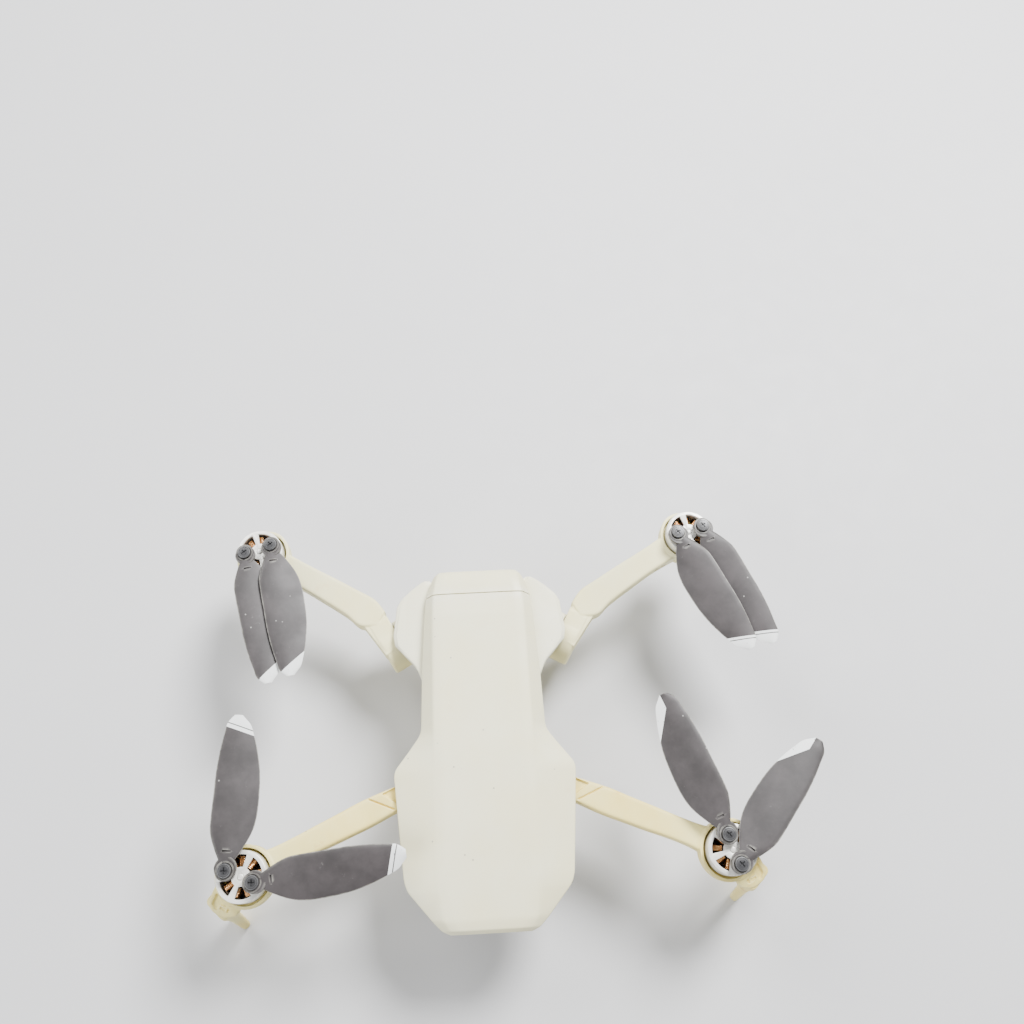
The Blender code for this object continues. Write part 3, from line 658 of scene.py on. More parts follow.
# %% Top shell
RIM_Z = 29.0
SHELL_STATIONS = [
    (38.3, 20.7, 17.6, 36.0, 36.6), (30.0, 21.5, 18.0, 36.6, 37.2), (8.0, 22.9, 18.3, 36.7, 37.2),
    (-14.0, 23.6, 18.6, 36.7, 37.2), (-20.5, 28.4, 18.7, 36.6, 37.2),
    (-26.8, 33.4, 18.8, 36.4, 37.1), (-29.0, 34.0, 18.8, 36.4, 37.0),
    (-48.0, 32.4, 18.8, 35.8, 36.5), (-66.0, 30.8, 18.6, 34.8, 35.3),
    (-69.5, 29.6, 18.3, 34.4, 35.0), (-80.0, 20.6, 16.4, 33.4, 34.0),
    (-83.2, 17.4, 14.6, 32.4, 33.0), (-84.5, 14.5, 12.4, 31.0, 31.4)]
SECTION_CUTS = [0.1, 0.5, 0.9, 1.4, 2.0, 2.0, 1.4, 0.9, 0.5, 0.1]


def cover_section(row, inset=0.0, drop=0.0, floor=RIM_Z):
    """One section of a cover: upright rim, sloping flank, crease, and nearly flat top."""
    y, rim, crease, crease_z, top = row[:5]
    half = [(rim - inset, y, floor), (rim - inset, y, RIM_Z + 1.5 - drop),
            (crease - inset / 2, y, crease_z - drop), (crease - 3.0, y, top - drop),
            (crease * 0.4, y, top - drop)]
    return rounded(both_sides(half), SECTION_CUTS, closed=True)


def make_top_shell():
    stations = rounded(SHELL_STATIONS, [0, 1, 2, 2.5, 1, 1.2, 1.2, 2, 1.6, 1.6, 1.5, 0.8, 0])
    shell = solid("top_cover", loft([cover_section(row) for row in stations]))
    inner = [cover_section(row, 1.3, 1.6, RIM_Z - 2) for row in SHELL_STATIONS[:-1]]
    behind = [(p[0], p[1] + 2, p[2]) for p in inner[0]]
    carve(shell, loft([behind] + inner))
    return finish(shell, SHELL, "airframe", "shell_plastic", "top_shell", sharp=30)


make_top_shell()

# %% [markdown]
# ## Battery door
# The door carries on the cover's lines and rounds down behind. It rides on its own body, so
# a fine seam shows where it meets the cover.

# %% Battery door
DOOR_STATIONS = [(38.7, 20.7, 17.6, 36.0, 36.6, 5.0), (44.0, 19.0, 16.6, 35.5, 36.1, 5.0),
                 (47.2, 17.6, 15.8, 34.0, 34.9, 5.0), (48.7, 16.0, 14.8, 32.0, 32.6, 7.0)]
DOOR_BACK_Y = 46.9
DOOR_HINGE = [1000 * value for value in JOINTS["battery_door_open"]["pos_m"]]


def door_section(row, inset=0.0, drop=0.0):
    y, rim, crease, crease_z, top, low = row
    half = [(rim * 0.94 - inset, y, low), (rim - inset, y, RIM_Z - drop),
            (rim - inset, y, RIM_Z + 1.5 - drop), (crease - inset / 2, y, crease_z - drop),
            (crease - 3.0, y, top - drop)]
    return rounded(both_sides(half), 0.7, closed=True)


def make_door():
    stations = rounded(DOOR_STATIONS, [0, 2.4, 1.6, 0], 6)
    door = solid("rear_door", loft([door_section(row) for row in stations]))
    front = (37.0, *DOOR_STATIONS[0][1:])
    back = (DOOR_BACK_Y - 0.2, *DOOR_STATIONS[1][1:])
    carve(door, block((-30, 30, 0), (30, DOOR_BACK_Y, RIM_Z)),
          loft([door_section(row, 1.3, 1.6) for row in (front, back)]))
    # two shallow grip lines across the back, for a fingernail
    for z in (24.0, 26.0):
        carve(door, block((-7, 48.4, z), (7, 60, z + 0.8)))
    y, z = DOOR_HINGE[1], DOOR_HINGE[2]
    carve(door, bar((-9, y, z), (9, y, z), 1.5), operation="UNION")
    return finish(door, SHELL, "door", "shell_plastic", "battery_door", sharp=30)


make_door()

# %% [markdown]
# ## Rear ears and mid frame
# Behind the cover two soft ears reach over the rear hinges. Their tops fall away from the
# hull, which gives them their slow shading. Under them is the frame that carries everything,
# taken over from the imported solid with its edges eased.

# %% Rear ears
EAR_OUTLINE = [(18.0, 44.5), (20.8, 47.6), (23.8, 46.0), (27.0, 43.6), (31.0, 40.2),
               (32.7, 37.2), (33.2, 33.4), (34.2, 25.5), (33.6, 21.6), (29.4, 16.8),
               (25.2, 12.2), (23.6, 8.0), (20.0, 4.0)]
EAR_CUTS = [0.1, 1.2, 2.0, 2.0, 1.8, 1.8, 2.5, 2.5, 2.0, 2.8, 2.4, 2.0, 0.1]
EAR_LOW = 23.3
EAR_STEPS = [(1.0, -1.6), (1.0, -0.7), (0.985, -0.25), (0.96, -0.04), (0.9, 0.0), (0.75, 0.0),
             (0.5, 0.0), (0.25, 0.0)]


def ear_top(x):
    """Height of an ear's skin, highest beside the hull."""
    out = min(max((x - 21.0) / 13.0, 0.0), 1.0)
    return 27.2 - 1.6 * out ** 1.2


def make_ear(side):
    outline = rounded(EAR_OUTLINE, EAR_CUTS, 5, closed=True)
    middle = np.array((25.0, 28.0))
    rings = [[(p[0], p[1], EAR_LOW) for p in outline]]
    for share, drop in EAR_STEPS:
        ring = [middle + (p - middle) * share for p in outline]
        rings.append([(q[0], q[1], ear_top(q[0]) + drop) for q in ring])
    return solid("ear", loft([[(side * x, y, z) for x, y, z in ring] for ring in rings]))


for side, name in ((1, "left"), (-1, "right")):
    finish(make_ear(side), FRAME, "airframe", "frame_plastic").name = "rear_ear_" + name

# %% Mid frame and the parts inside the hull
COPIES = [
    ("mid_frame", "carrier_frame", 0.25, FRAME, "airframe", "frame_plastic"),
    ("battery_pack", "battery_block", 0.8, BATTERY, "airframe", "grey_plastic"),
    ("main_board", "control_board", 0.1, BOARD, "airframe", "circuit_board"),
    ("heat_sink", "cooling_block", 0.15, ALUMINIUM, "airframe", "aluminium"),
    ("satellite_receiver", "receiver_board", 0.15, BOARD, "airframe", "circuit_board"),
    ("belly_sensor_window", "sensor_window", 0.12, GLASS, "airframe", "lens_glass"),
    ("charge_level_window", "charge_lights", 0.1, GLASS, "airframe", "lens_glass"),
    ("charging_port", "charging_socket", 0.1, STEEL, "airframe", "steel"),
    ("power_button", "power_key_cap", 0.2, GREY, "power_key", "grey_plastic"),
    ("gimbal_damper_plate", "damper_plate", 0.12, ALUMINIUM, "airframe", "aluminium"),
    ("gimbal_damper_left", "damper_left", 0.1, RUBBER, "airframe", "rubber"),
    ("gimbal_damper_right", "damper_right", 0.1, RUBBER, "airframe", "rubber"),
    ("gimbal_yaw_arm", "yaw_arm", 0.5, GREY, "gimbal_yaw", "grey_plastic"),
    ("gimbal_roll_arm", "roll_arm", 0.5, GREY, "gimbal_roll", "grey_plastic"),
    ("camera_housing", "camera_body", 0.5, GREY, "camera", "grey_plastic"),
    ("front_left_hinge_pin", "front_left_pin", 0.2, STEEL, "airframe", "steel"),
    ("front_right_hinge_pin", "front_right_pin", 0.2, STEEL, "airframe", "steel"),
    ("rear_left_hinge_shaft", "rear_left_shaft", 0.2, STEEL, "airframe", "steel"),
    ("rear_right_hinge_shaft", "rear_right_shaft", 0.2, STEEL, "airframe", "steel"),
]
for node, name, width, material, body, slot in COPIES:
    finish(copy_of(node, name, width), material, body, slot, node, sharp=35)

# %% [markdown]
# ## Copies in a ring and in a row
# A node tree does the repeating. The ring tree puts copies of one object round an axis, and
# the row tree puts them along a line. Both end by making the copies real, because a piece
# has to be one plain mesh before it rides on a body.


# %% Node trees for copies
def new_tree(name, inputs):
    tree = bpy.data.node_groups.new(name, "GeometryNodeTree")
    for label, kind, value in inputs:
        socket = tree.interface.new_socket(label, in_out="INPUT", socket_type="NodeSocket" + kind)
        if value is not None:
            socket.default_value = value
    tree.interface.new_socket("Geometry", in_out="OUTPUT", socket_type="NodeSocketGeometry")
    return tree, tree.nodes.new("NodeGroupInput").outputs


def close_tree(tree, given, instances):
    """Makes the copies real and gives them their material."""
    real = add(tree, "GeometryNodeRealizeInstances", {0: instances})
    painted = add(tree, "GeometryNodeSetMaterial",
                  {"Geometry": real.outputs[0], "Material": given["Material"]})
    out = tree.nodes.new("NodeGroupOutput")
    tree.links.new(painted.outputs[0], out.inputs[0])
    return tree


def source_of(tree, given):
    return add(tree, "GeometryNodeObjectInfo", {"Object": given["Source"]},
               transform_space="ORIGINAL").outputs["Geometry"]


def build_ring():
    tree, given = new_tree("copies in a ring", [
        ("Source", "Object", None), ("Copies", "Int", 2), ("Radius", "Float", 0.005),
        ("Turn", "Float", 0.0), ("Centre", "Vector", (0, 0, 0)), ("Material", "Material", None)])
    row = add(tree, "GeometryNodeMeshLine", {"Count": given["Copies"], "Offset": (0, 0, 0)})
    number = add(tree, "GeometryNodeInputIndex").outputs[0]
    share = maths(tree, "DIVIDE", number, given["Copies"])
    angle = maths(tree, "MULTIPLY", share, 2 * math.pi)
    turn = add(tree, "ShaderNodeCombineXYZ", {"Z": angle})
    place = add(tree, "ShaderNodeCombineXYZ", {
        "X": maths(tree, "MULTIPLY", maths(tree, "COSINE", angle, 0.0), given["Radius"]),
        "Y": maths(tree, "MULTIPLY", maths(tree, "SINE", angle, 0.0), given["Radius"])})
    ring = add(tree, "GeometryNodeSetPosition",
               {"Geometry": row.outputs[0], "Position": place.outputs[0]})
    copies = add(tree, "GeometryNodeInstanceOnPoints",
                 {"Points": ring.outputs[0], "Instance": source_of(tree, given),
                  "Rotation": turn.outputs[0]})
    whole = add(tree, "ShaderNodeCombineXYZ", {"Z": given["Turn"]})
    placed = add(tree, "GeometryNodeTransform",
                 {"Geometry": copies.outputs[0], "Translation": given["Centre"],
                  "Rotation": whole.outputs[0]})
    return close_tree(tree, given, placed.outputs[0])


def build_row():
    tree, given = new_tree("copies in a row", [
        ("Source", "Object", None), ("Copies", "Int", 5), ("Start", "Vector", (0, 0, 0)),
        ("Step", "Vector", (0, 0.003, 0)), ("Material", "Material", None)])
    line = add(tree, "GeometryNodeMeshLine", {"Count": given["Copies"], "Offset": given["Step"],
                                              "Start Location": given["Start"]})
    copies = add(tree, "GeometryNodeInstanceOnPoints",
                 {"Points": line.outputs[0], "Instance": source_of(tree, given)})
    return close_tree(tree, given, copies.outputs[0])


RING = build_ring()
ROW = build_row()


def copies_of(source, name, tree, **inputs):
    """Runs a tree on a new object and keeps the result as a plain mesh."""
    obj = bpy.data.objects.new(name, bpy.data.meshes.new(name))
    bpy.context.scene.collection.objects.link(obj)
    step = obj.modifiers.new("copies", "NODES")
    step.node_group = tree
    inputs["Source"] = source
    for item in tree.interface.items_tree:
        if item.in_out == "INPUT" and item.name in inputs:
            step[item.identifier] = inputs[item.name]
    return bake(obj)


print("trees:", RING.name, "and", ROW.name)

# %% [markdown]
# ## Bottom shell
# The belly is a shallow tray that stands on two rear feet. Cooling slots are cut over the
# metal block inside; a row of slot tools is made once by the row tree and cut in one go.

# %% Bottom shell
BELLY_STATIONS = [(44.9, 16.8, 12.0, 3.6), (38.0, 18.6, 14.5, 0.0), (10.0, 19.6, 15.5, 0.0),
                  (-30.0, 19.6, 15.5, 0.0), (-50.0, 19.2, 15.0, 0.0), (-56.0, 18.0, 13.5, 2.8)]
BELLY_TOP = 9.7
GROUND_Z = 1000 * CAD_BOX[0][2]
FOOT = (13.5, 35.0)


def belly_section(row, inset=0.0, lift=0.0, top=BELLY_TOP):
    y, joint, belly, low = row
    half = [(joint - inset, y, top), (joint - inset, y, 6.2), (belly - inset / 2, y, low + lift)]
    return rounded(both_sides(half), [0.1, 1.2, 0.9, 0.9, 1.2, 0.1], closed=True)


def make_belly():
    shell = solid("belly_tray", loft([belly_section(row) for row in rounded(BELLY_STATIONS, 1.5)]))
    inner = [list(row) for row in BELLY_STATIONS]
    inner[0][0] -= 1.5
    inner[-1][0] += 1.5
    carve(shell, loft([belly_section(row, 1.5, 1.5, 20) for row in inner]))
    for side in (1, -1):
        x, y = FOOT
        foot = [(2.0, GROUND_Z), (2.5, GROUND_Z + 0.3), (2.7, GROUND_Z + 1.0), (3.1, -5.0),
                (3.8, 0.4), (4.6, 1.2)]
        carve(shell, turned(foot, (side * x, y)), operation="UNION")
    slot = solid("slot", prism(rounded([(-9, -0.6), (9, -0.6), (9, 0.6), (-9, 0.6)], 0.58,
                                       closed=True), -1, 3))
    slots = copies_of(slot, "slots", ROW, Copies=6, Start=(0, -0.0485, 0), Step=(0, 0.0026, 0))
    carve(shell, slots, block((-14, -30, -3), (14, -12, 1.0)),
          turned([(4.3, -3), (4.3, 6)], (0, 28)), block((-6, 20.2, -3), (6, 22.2, 6)),
          block((-4.9, 36.0, 2.7), (4.9, 50, 6.7)))
    bpy.data.objects.remove(slot)
    return finish(shell, SHELL, "airframe", "shell_plastic", "bottom_shell", sharp=30)


make_belly()

# %% [markdown]
# ## Arms
# An arm is a tapering beam that ends in a cup for the motor. Beam, cup and leg are drawn as
# separate skins and then melted into one, so the joins get the small fillets of a moulding. A
# rear arm bends just above its hinge, and a short tapering skin fills the inside of the bend.
# The left arm is made, and the right one is its mirror image.

# %% Arm sections and the motor cup
MOTORS = {}
for corner in ("front_left", "front_right", "rear_left", "rear_right"):
    low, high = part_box(corner + "_bell")
    MOTORS[corner] = (500 * (low[0] + high[0]), 500 * (low[1] + high[1]), 1000 * high[2] - 0.5)
print({corner: [round(v, 1) for v in place] for corner, place in MOTORS.items()})
CUP_R = 11.0
CUP_BORE_R = 9.8
CUP_DROP = 5.0
LOW_SIDE = (0.45, -0.89)   # the front cups fall away from the arm, towards the nose
BEAM_EDGE = 1.3            # rounding of a beam's four long edges


def beam_section(start, along, row):
    """A section across a beam: distance along, sideways shift, half-width, under, top."""
    s, shift, half, low, high = row
    normal = np.array((-along[1], along[0]))
    base = np.array(start) + np.array(along) * s + normal * shift
    corners = [(half, low), (half, high), (-half, high), (-half, low)]
    points = rounded(corners, BEAM_EDGE, 5, closed=True)
    return [(base[0] + normal[0] * t, base[1] + normal[1] * t, z) for t, z in points]


def slanted_cut(x, y, high, along, drop):
    """The wedge that lowers a cup's rim on the side away from the beam."""
    wedge = prism([(-4.0, -20), (-4.0, 20), (25, 20), (25, -20)], 0, 12)
    for vert in wedge.verts:
        if vert.co.z < 1 and vert.co.x > 0:
            vert.co.z = -drop * 29 / (CUP_R + 4)
    turn = Matrix.Rotation(math.atan2(along[1], along[0]), 4, "Z")
    return moved(wedge, Matrix.Translation((x, y, high)) @ turn)


def direction(start, end):
    step = np.array(end) - np.array(start)
    return step / np.linalg.norm(step), float(np.linalg.norm(step))


# %% Front arms, with their legs
FRONT_HINGE = [1000 * value for value in JOINTS["front_left_arm_fold"]["pos_m"]][:2]
TONGUE = [(8.4, 1.0), (11.9, -3.4), (13.4, -8.2), (12.3, -10.9), (8.0, -13.4), (3.0, -13.0),
          (1.0, -8.0)]
POCKET = [(10.6, -4.6), (12.2, -8.3), (11.3, -10.1), (7.8, -12.1), (5.2, -11.2), (8.2, -8.4)]
LEG_SECTIONS = [(0.0, 3.0, 1.2), (0.05, 3.7, 1.7), (0.6, 4.1, 2.0), (0.85, 4.8, 2.7),
                (0.93, 5.2, 3.2), (1.0, 5.2, 3.2)]
ROOT_POCKET = [(2.5, 5.3), (9.6, 5.2), (5.6, -0.6), (2.0, 0.4)]
ROOT_GROOVE = [(7.0, -1.9), (7.9, -1.9), (17.0, 7.6), (16.1, 7.6)]


def in_beam(start, along, points, high):
    """Points given along and across a beam, as plan points of the hull."""
    normal = np.array((-along[1], along[0]))
    return [tuple(np.array(start) + along * s + normal * t) + (high,) for s, t in points]


def make_front_arm():
    x, y = MOTORS["front_left"][:2]
    along, length = direction(FRONT_HINGE, (x, y))
    rows = [(0.0, 1.2, 4.2, 19.0, 28.0), (8.0, 1.5, 4.4, 19.0, 28.0), (17.0, 1.4, 4.9, 20.5, 28.3),
            (25.0, 1.1, 4.7, 22.2, 30.2), (34.0, 0.8, 4.5, 24.6, 32.4),
            (44.0, 0.6, 4.2, 27.0, 34.0), (52.0, 0.4, 4.4, 27.5, 34.8),
            (length - 6.0, 0.2, 5.4, 27.5, 35.2)]
    beam = loft([beam_section(FRONT_HINGE, along, row) for row in flowing(rows)])
    arm = solid("front_arm", beam)
    knuckle = turned([(5.2, 19.0), (5.6, 19.4), (5.6, 27.6), (5.2, 28.0)], FRONT_HINGE)
    cup = turned([(9.8, 27.5), (10.6, 27.9), (CUP_R, 28.8), (CUP_R, 35.2)], (x, y), 96)
    foot, head = Vector((98.2, -76.8, GROUND_Z + 0.08)), Vector((96.4, -70.2, 28.0))
    wide, thick = Vector((0.7, 0.7, 0)), Vector((0.7, -0.7, 0))
    leg = []
    for t, w, d in flowing(LEG_SECTIONS, 3):
        corners = rounded([(w, d), (-w, d), (-w, -d), (w, -d)], min(w, d) * 0.7, 4, closed=True)
        leg.append([tuple(foot.lerp(head, t) + wide * a + thick * b) for a, b in corners])
    tongue = [(x + a, y + b) for a, b in rounded(TONGUE, 1.6, closed=True)]
    carve(arm, knuckle, cup, loft(leg), prism(tongue, 27.0, 29.7), operation="UNION")
    pocket = [(x + a, y + b) for a, b in rounded(POCKET, 0.8, closed=True)]
    carve(arm, turned([(CUP_BORE_R, 29.0), (CUP_BORE_R, 45)], (x, y), 96),
          slanted_cut(x, y, 35.2, LOW_SIDE, CUP_DROP), prism(pocket, 28.5, 40),
          turned([(1.9, 15), (1.9, 30)], FRONT_HINGE))
    groove = [(p[0], p[1]) for p in in_beam(FRONT_HINGE, along, ROOT_GROOVE, 0)]
    recess = [(p[0], p[1]) for p in in_beam(FRONT_HINGE, along, ROOT_POCKET, 0)]
    carve(arm, prism(recess, 26.6, 40), prism(groove, 26.9, 40))
    plate = Matrix.Translation((x + 8.3, y - 10.3, 0)) @ Matrix.Rotation(math.radians(29), 4, "Z")
    rim = [(-1.7, -0.9), (1.7, -0.9), (1.7, 0.9), (-1.7, 0.9)]
    carve(arm, moved(prism(rim, 28.0, 29.2), plate), operation="UNION")
    carve(arm, moved(prism([(a * 0.66, b * 0.45) for a, b in rim], 28.5, 31), plate))
    return mould(arm)


FRONT_ARM = make_front_arm()
twin = mirror_of(FRONT_ARM, "front_right_boom_arm")
FRONT_ARM.name = "front_left_boom_arm"
finish(FRONT_ARM, ARM, "front_left_boom", "arm_plastic", "front_left_arm", sharp=60)
finish(twin, ARM, "front_right_boom", "arm_plastic", "front_right_arm", sharp=60)

# %% Rear arms
REAR_HINGE = [1000 * value for value in JOINTS["rear_left_arm_fold"]["pos_m"]]
REAR_ROOT = (39.4, 34.2)
SIDE_SLOTS = (36.0, 39.4)
# the bend between hinge and beam: height, and its plan from the hinge's foot round to its top
REAR_BEND = [
    (12.0, [(34.9, 20.5), (36.4, 17.6), (43.8, 31.0), (44.5, 32.2), (40.4, 34.6), (37.6, 33.6)]),
    (16.5, [(34.9, 20.5), (37.6, 18.2), (46.6, 30.8), (48.4, 33.5), (41.3, 38.8), (38.2, 35.9)]),
    (21.9, [(34.9, 20.5), (37.4, 18.6), (46.6, 31.2), (48.4, 33.7), (41.3, 39.6), (38.2, 36.0)])]


def make_rear_arm():
    x, y = MOTORS["rear_left"][:2]
    along, length = direction(REAR_ROOT, (x, y))
    rows = [(0.0, -0.6, 3.6, 14.5, 22.3), (6.0, -0.8, 6.2, 15.0, 22.8),
            (13.0, -0.1, 5.6, 16.0, 23.8), (24.0, 0.2, 5.2, 18.0, 25.6),
            (36.0, 0.2, 4.9, 20.5, 27.2), (length - 6.0, 0.0, 5.4, 20.5, 28.2)]
    arm = solid("rear_arm", loft([beam_section(REAR_ROOT, along, row) for row in flowing(rows)]))
    centre = Vector(REAR_HINGE)
    axis = Vector(JOINTS["rear_left_arm_fold"]["axis"])
    axis *= 1 if axis.x > 0 else -1
    disc = bar(centre - axis * 4, centre + axis * 4, 10.5, 96, 0.8)
    cup = turned([(9.8, 20.5), (10.6, 20.9), (CUP_R, 21.8), (CUP_R, 28.2)], (x, y), 96)
    across = Vector((-axis.y, axis.x, 0))
    shoulder = rounded([(-1.0, 10.2), (9.1, 10.2), (10.5, 8.2), (10.5, 0.0), (0.0, 0.0)], 1.0,
                       closed=True)
    knee = [[tuple(centre + across * u + axis * depth + Vector((0, 0, z))) for u, z in shoulder]
            for depth in (-3.9, 3.9)]
    bend = [[(px, py, z) for px, py in outline] for z, outline in REAR_BEND]
    carve(arm, disc, cup, loft(knee), loft(bend), operation="UNION")
    carve(arm, turned([(CUP_BORE_R, 22.0), (CUP_BORE_R, 45)], (x, y), 96),
          slanted_cut(x, y, 28.2, along, CUP_DROP),
          bar(centre - axis * 12, centre + axis * 2.2, 2.9, 32))
    for s in SIDE_SLOTS:
        slot = in_beam(REAR_ROOT, along, [(s, -7), (s + 2.4, -7), (s + 2.4, -4.2), (s, -4.2)], 0)
        carve(arm, prism([(p[0], p[1]) for p in slot], 21.8, 24.2))
    return mould(arm)


REAR_ARM = make_rear_arm()
twin = mirror_of(REAR_ARM, "rear_right_boom_arm")
REAR_ARM.name = "rear_left_boom_arm"
finish(REAR_ARM, REAR_FINISH, "rear_left_boom", "arm_plastic", "rear_left_arm", sharp=60)
finish(twin, REAR_FINISH, "rear_right_boom", "arm_plastic", "rear_right_arm", sharp=60)

# %% [markdown]
# ## Motors
# Each motor is an outrunner: nine wound teeth stand still, and a bright bell turns over them.
# One turn of wire is a rounded rectangle; the row tree stacks the turns on a tooth and the
# ring tree sets nine teeth round the axis, so the coils are real wire with real gaps. The ring
# tree starts from a line of points and bends it round, because a pair of screws is a ring too.

# %% Stator and windings
TEETH = 9
TURNS = 8
WIRE_R = 0.21
BELL_H = 9.4


def wire_loop(low, high):
    """One turn of wire round a tooth that points along X."""
    corners = [(0.98, low), (0.98, high), (-0.98, high), (-0.98, low)]
    path = [Vector((0, p[0], p[1])) for p in rounded(corners, 0.5, 3, closed=True)]
    centre = Vector((0, 0, (low + high) / 2))
    rings = []
    for point in path:
        outward = (point - centre)
        outward.x = 0
        outward.normalize()
        rings.append([tuple(point + Vector((math.cos(a), 0, 0)) * WIRE_R
                            + outward * math.sin(a) * WIRE_R)
                      for a in (math.pi * k / 3 for k in range(6))])
    return loft(rings, closed=True)


def make_stator(corner):
    x, y, top = MOTORS[corner]
    base = top - BELL_H
    low, high = base + 1.4, top - 2.3
    wire = solid("wire", wire_loop(low, high))
    coil = copies_of(wire, "coil", ROW, Copies=TURNS, Start=(0.0037, 0, 0), Step=(0.00043, 0, 0),
                     Material=COPPER)
    windings = copies_of(coil, corner + "_coils", RING, Copies=TEETH, Radius=0.0, Turn=0.2,
                         Centre=(x * MM, y * MM, 0), Material=COPPER)
    bpy.data.objects.remove(wire)
    bpy.data.objects.remove(coil)
    finish(windings, COPPER, corner + "_boom", "copper", corner + "_winding", sharp=80)

    outline = []
    for k in range(TEETH):
        a = 2 * math.pi * k / TEETH + 0.2
        for radius, offset in ((3.2, -0.3), (6.9, -0.09), (7.0, -0.26), (7.35, -0.27),
                               (7.4, 0), (7.35, 0.27), (7.0, 0.26), (6.9, 0.09), (3.2, 0.3)):
            outline.append((x + radius * math.cos(a + offset), y + radius * math.sin(a + offset)))
    core = solid(corner + "_core", prism(outline, low + 0.5, high - 0.5))
    carve(core, turned([(7.2, base - 0.3), (7.3, base - 0.2), (7.3, base + 0.5)], (x, y)),
          turned([(3.1, base), (3.1, top - 1.9)], (x, y)), operation="UNION")
    carve(core, turned([(1.4, base + 0.3), (1.4, top + 3)], (x, y), 24))
    finish(core, CORE, corner + "_boom", "steel", corner + "_stator", sharp=35)


for corner in MOTORS:
    make_stator(corner)

# %% [markdown]
# The bell's face is a bright ring on two thin spokes and two broad lugs. The lugs carry the
# blade screws. The hub angle of each motor is read off its packed screws, so the four bells
# stand at the four angles at which they came to rest.


# %% Bells
def middle_of(node):
    low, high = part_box(node)
    return 500 * (low[0] + high[0]), 500 * (low[1] + high[1])


def hub_angle(corner):
    sx, sy = middle_of(corner + "_screw_a")
    return math.atan2(sy - MOTORS[corner][1], sx - MOTORS[corner][0])


def window(start, end, inner, outer, centre, high):
    """A window tool between two spokes."""
    steps = 14
    angles = [start + (end - start) * i / steps for i in range(steps + 1)]
    outline = [(outer * math.cos(a), outer * math.sin(a)) for a in angles]
    outline += [(inner * math.cos(a), inner * math.sin(a)) for a in reversed(angles[1:-1])]
    return prism([(centre[0] + p[0], centre[1] + p[1]) for p in outline], high - 3, high + 3)


def make_bell(corner):
    x, y, top = MOTORS[corner]
    base = top - BELL_H
    turn = hub_angle(corner)
    bell = solid(corner + "_can", turned(
        [(8.9, base + 0.1), (8.9, top - 0.25), (8.82, top - 0.07), (8.65, top), (0.4, top),
         (0.4, top - 1.2), (7.9, top - 1.2), (7.9, base + 0.1)], (x, y), 128, closed=True))
    for quarter in range(4):
        start = turn + quarter * math.pi / 2
        wide, narrow = (0.60, 0.16) if quarter % 2 == 0 else (0.16, 0.60)
        carve(bell, window(start + wide, start + math.pi / 2 - narrow, 3.3, 7.5, (x, y), top))
    carve(bell, turned([(1.0, base + 0.6), (1.0, top + 0.3), (0.85, top + 0.4)], (x, y), 32),
          operation="UNION")
    carve(bell, turned([(1.25, top - 0.25), (1.25, top + 0.3), (1.05, top + 0.3),
                        (1.05, top - 0.25)], (x, y), 32, closed=True))
    for half_turn in (0, math.pi):
        sx = x + 5.3 * math.cos(turn + half_turn)
        sy = y + 5.3 * math.sin(turn + half_turn)
        carve(bell, turned([(2.9, top - 1.1), (2.9, top + 0.35), (2.75, top + 0.5)], (sx, sy)),
              operation="UNION")
        carve(bell, turned([(1.1, top - 0.8), (1.1, top + 2)], (sx, sy), 32))
    eased(bell, 0.12, 2, 40)
    return finish(bell, BELL, corner + "_rotor", "bell_metal", corner + "_bell", sharp=35)


for corner in MOTORS:
    make_bell(corner)


# %% Blade screws
def screw_master(top):
    """A pan-head cross screw, upright at the origin."""
    head = turned([(0.75, top - 0.5), (0.8, top + 3.7), (2.35, top + 3.7), (2.5, top + 3.85),
                   (2.5, top + 4.25), (2.38, top + 4.45), (2.05, top + 4.5), (1.98, top + 4.42),
                   (1.9, top + 4.42), (1.83, top + 4.5), (1.2, top + 4.57), (0.6, top + 4.59)],
                  sides=48)
    screw = solid("screw", head)
    for turn in (0.4, 0.4 + math.pi / 2):
        slot = block((-1.15, -0.2, top + 3.95), (1.15, 0.2, top + 6))
        carve(screw, moved(slot, Matrix.Rotation(turn, 4, "Z")))
    carve(screw, turned([(0.3, top + 3.8), (0.55, top + 4.7)], sides=16))
    return screw


for corner in MOTORS:
    x, y, top = MOTORS[corner]
    master = screw_master(top)
    pair = copies_of(master, corner + "_blade_screws", RING, Copies=2, Radius=5.3 * MM,
                     Turn=hub_angle(corner), Centre=(x * MM, y * MM, 0), Material=STEEL)
    bpy.data.objects.remove(master)
    finish(pair, STEEL, corner + "_rotor", "steel", corner + "_screw_a", corner + "_screw_b",
           sharp=30)

# %% [markdown]
# ## Blades
# A blade is thin, twisted and broad near its root. The table gives, for each distance from
# the screw, how far the leading and trailing edges reach, the pitch and the thickness. A
# smooth curve runs through the rows. Its own map runs along and across the blade, and the
# painted tip follows that map whichever way the blade points.

# %% Blades
BLADE_LENGTH = 53.8
BLADE_LIFT = 2.6
BLADE_SECTIONS = [
    (2.6, 2.2, 2.2, 1.0, 1.5), (6.7, 4.2, 4.8, 8.0, 1.2), (12.4, 6.2, 7.6, 12.0, 1.0),
    (18.2, 6.5, 8.9, 13.0, 1.0), (26.0, 6.4, 9.1, 12.5, 1.0), (34.0, 6.3, 8.6, 12.0, 0.9),
    (41.4, 5.7, 7.1, 11.0, 0.9), (47.2, 4.8, 5.3, 10.0, 0.8), (50.4, 4.3, 4.0, 10.0, 0.8),
    (52.3, 3.2, 2.3, 10.0, 0.7), (BLADE_LENGTH, 1.9, 0.9, 10.0, 0.6)]
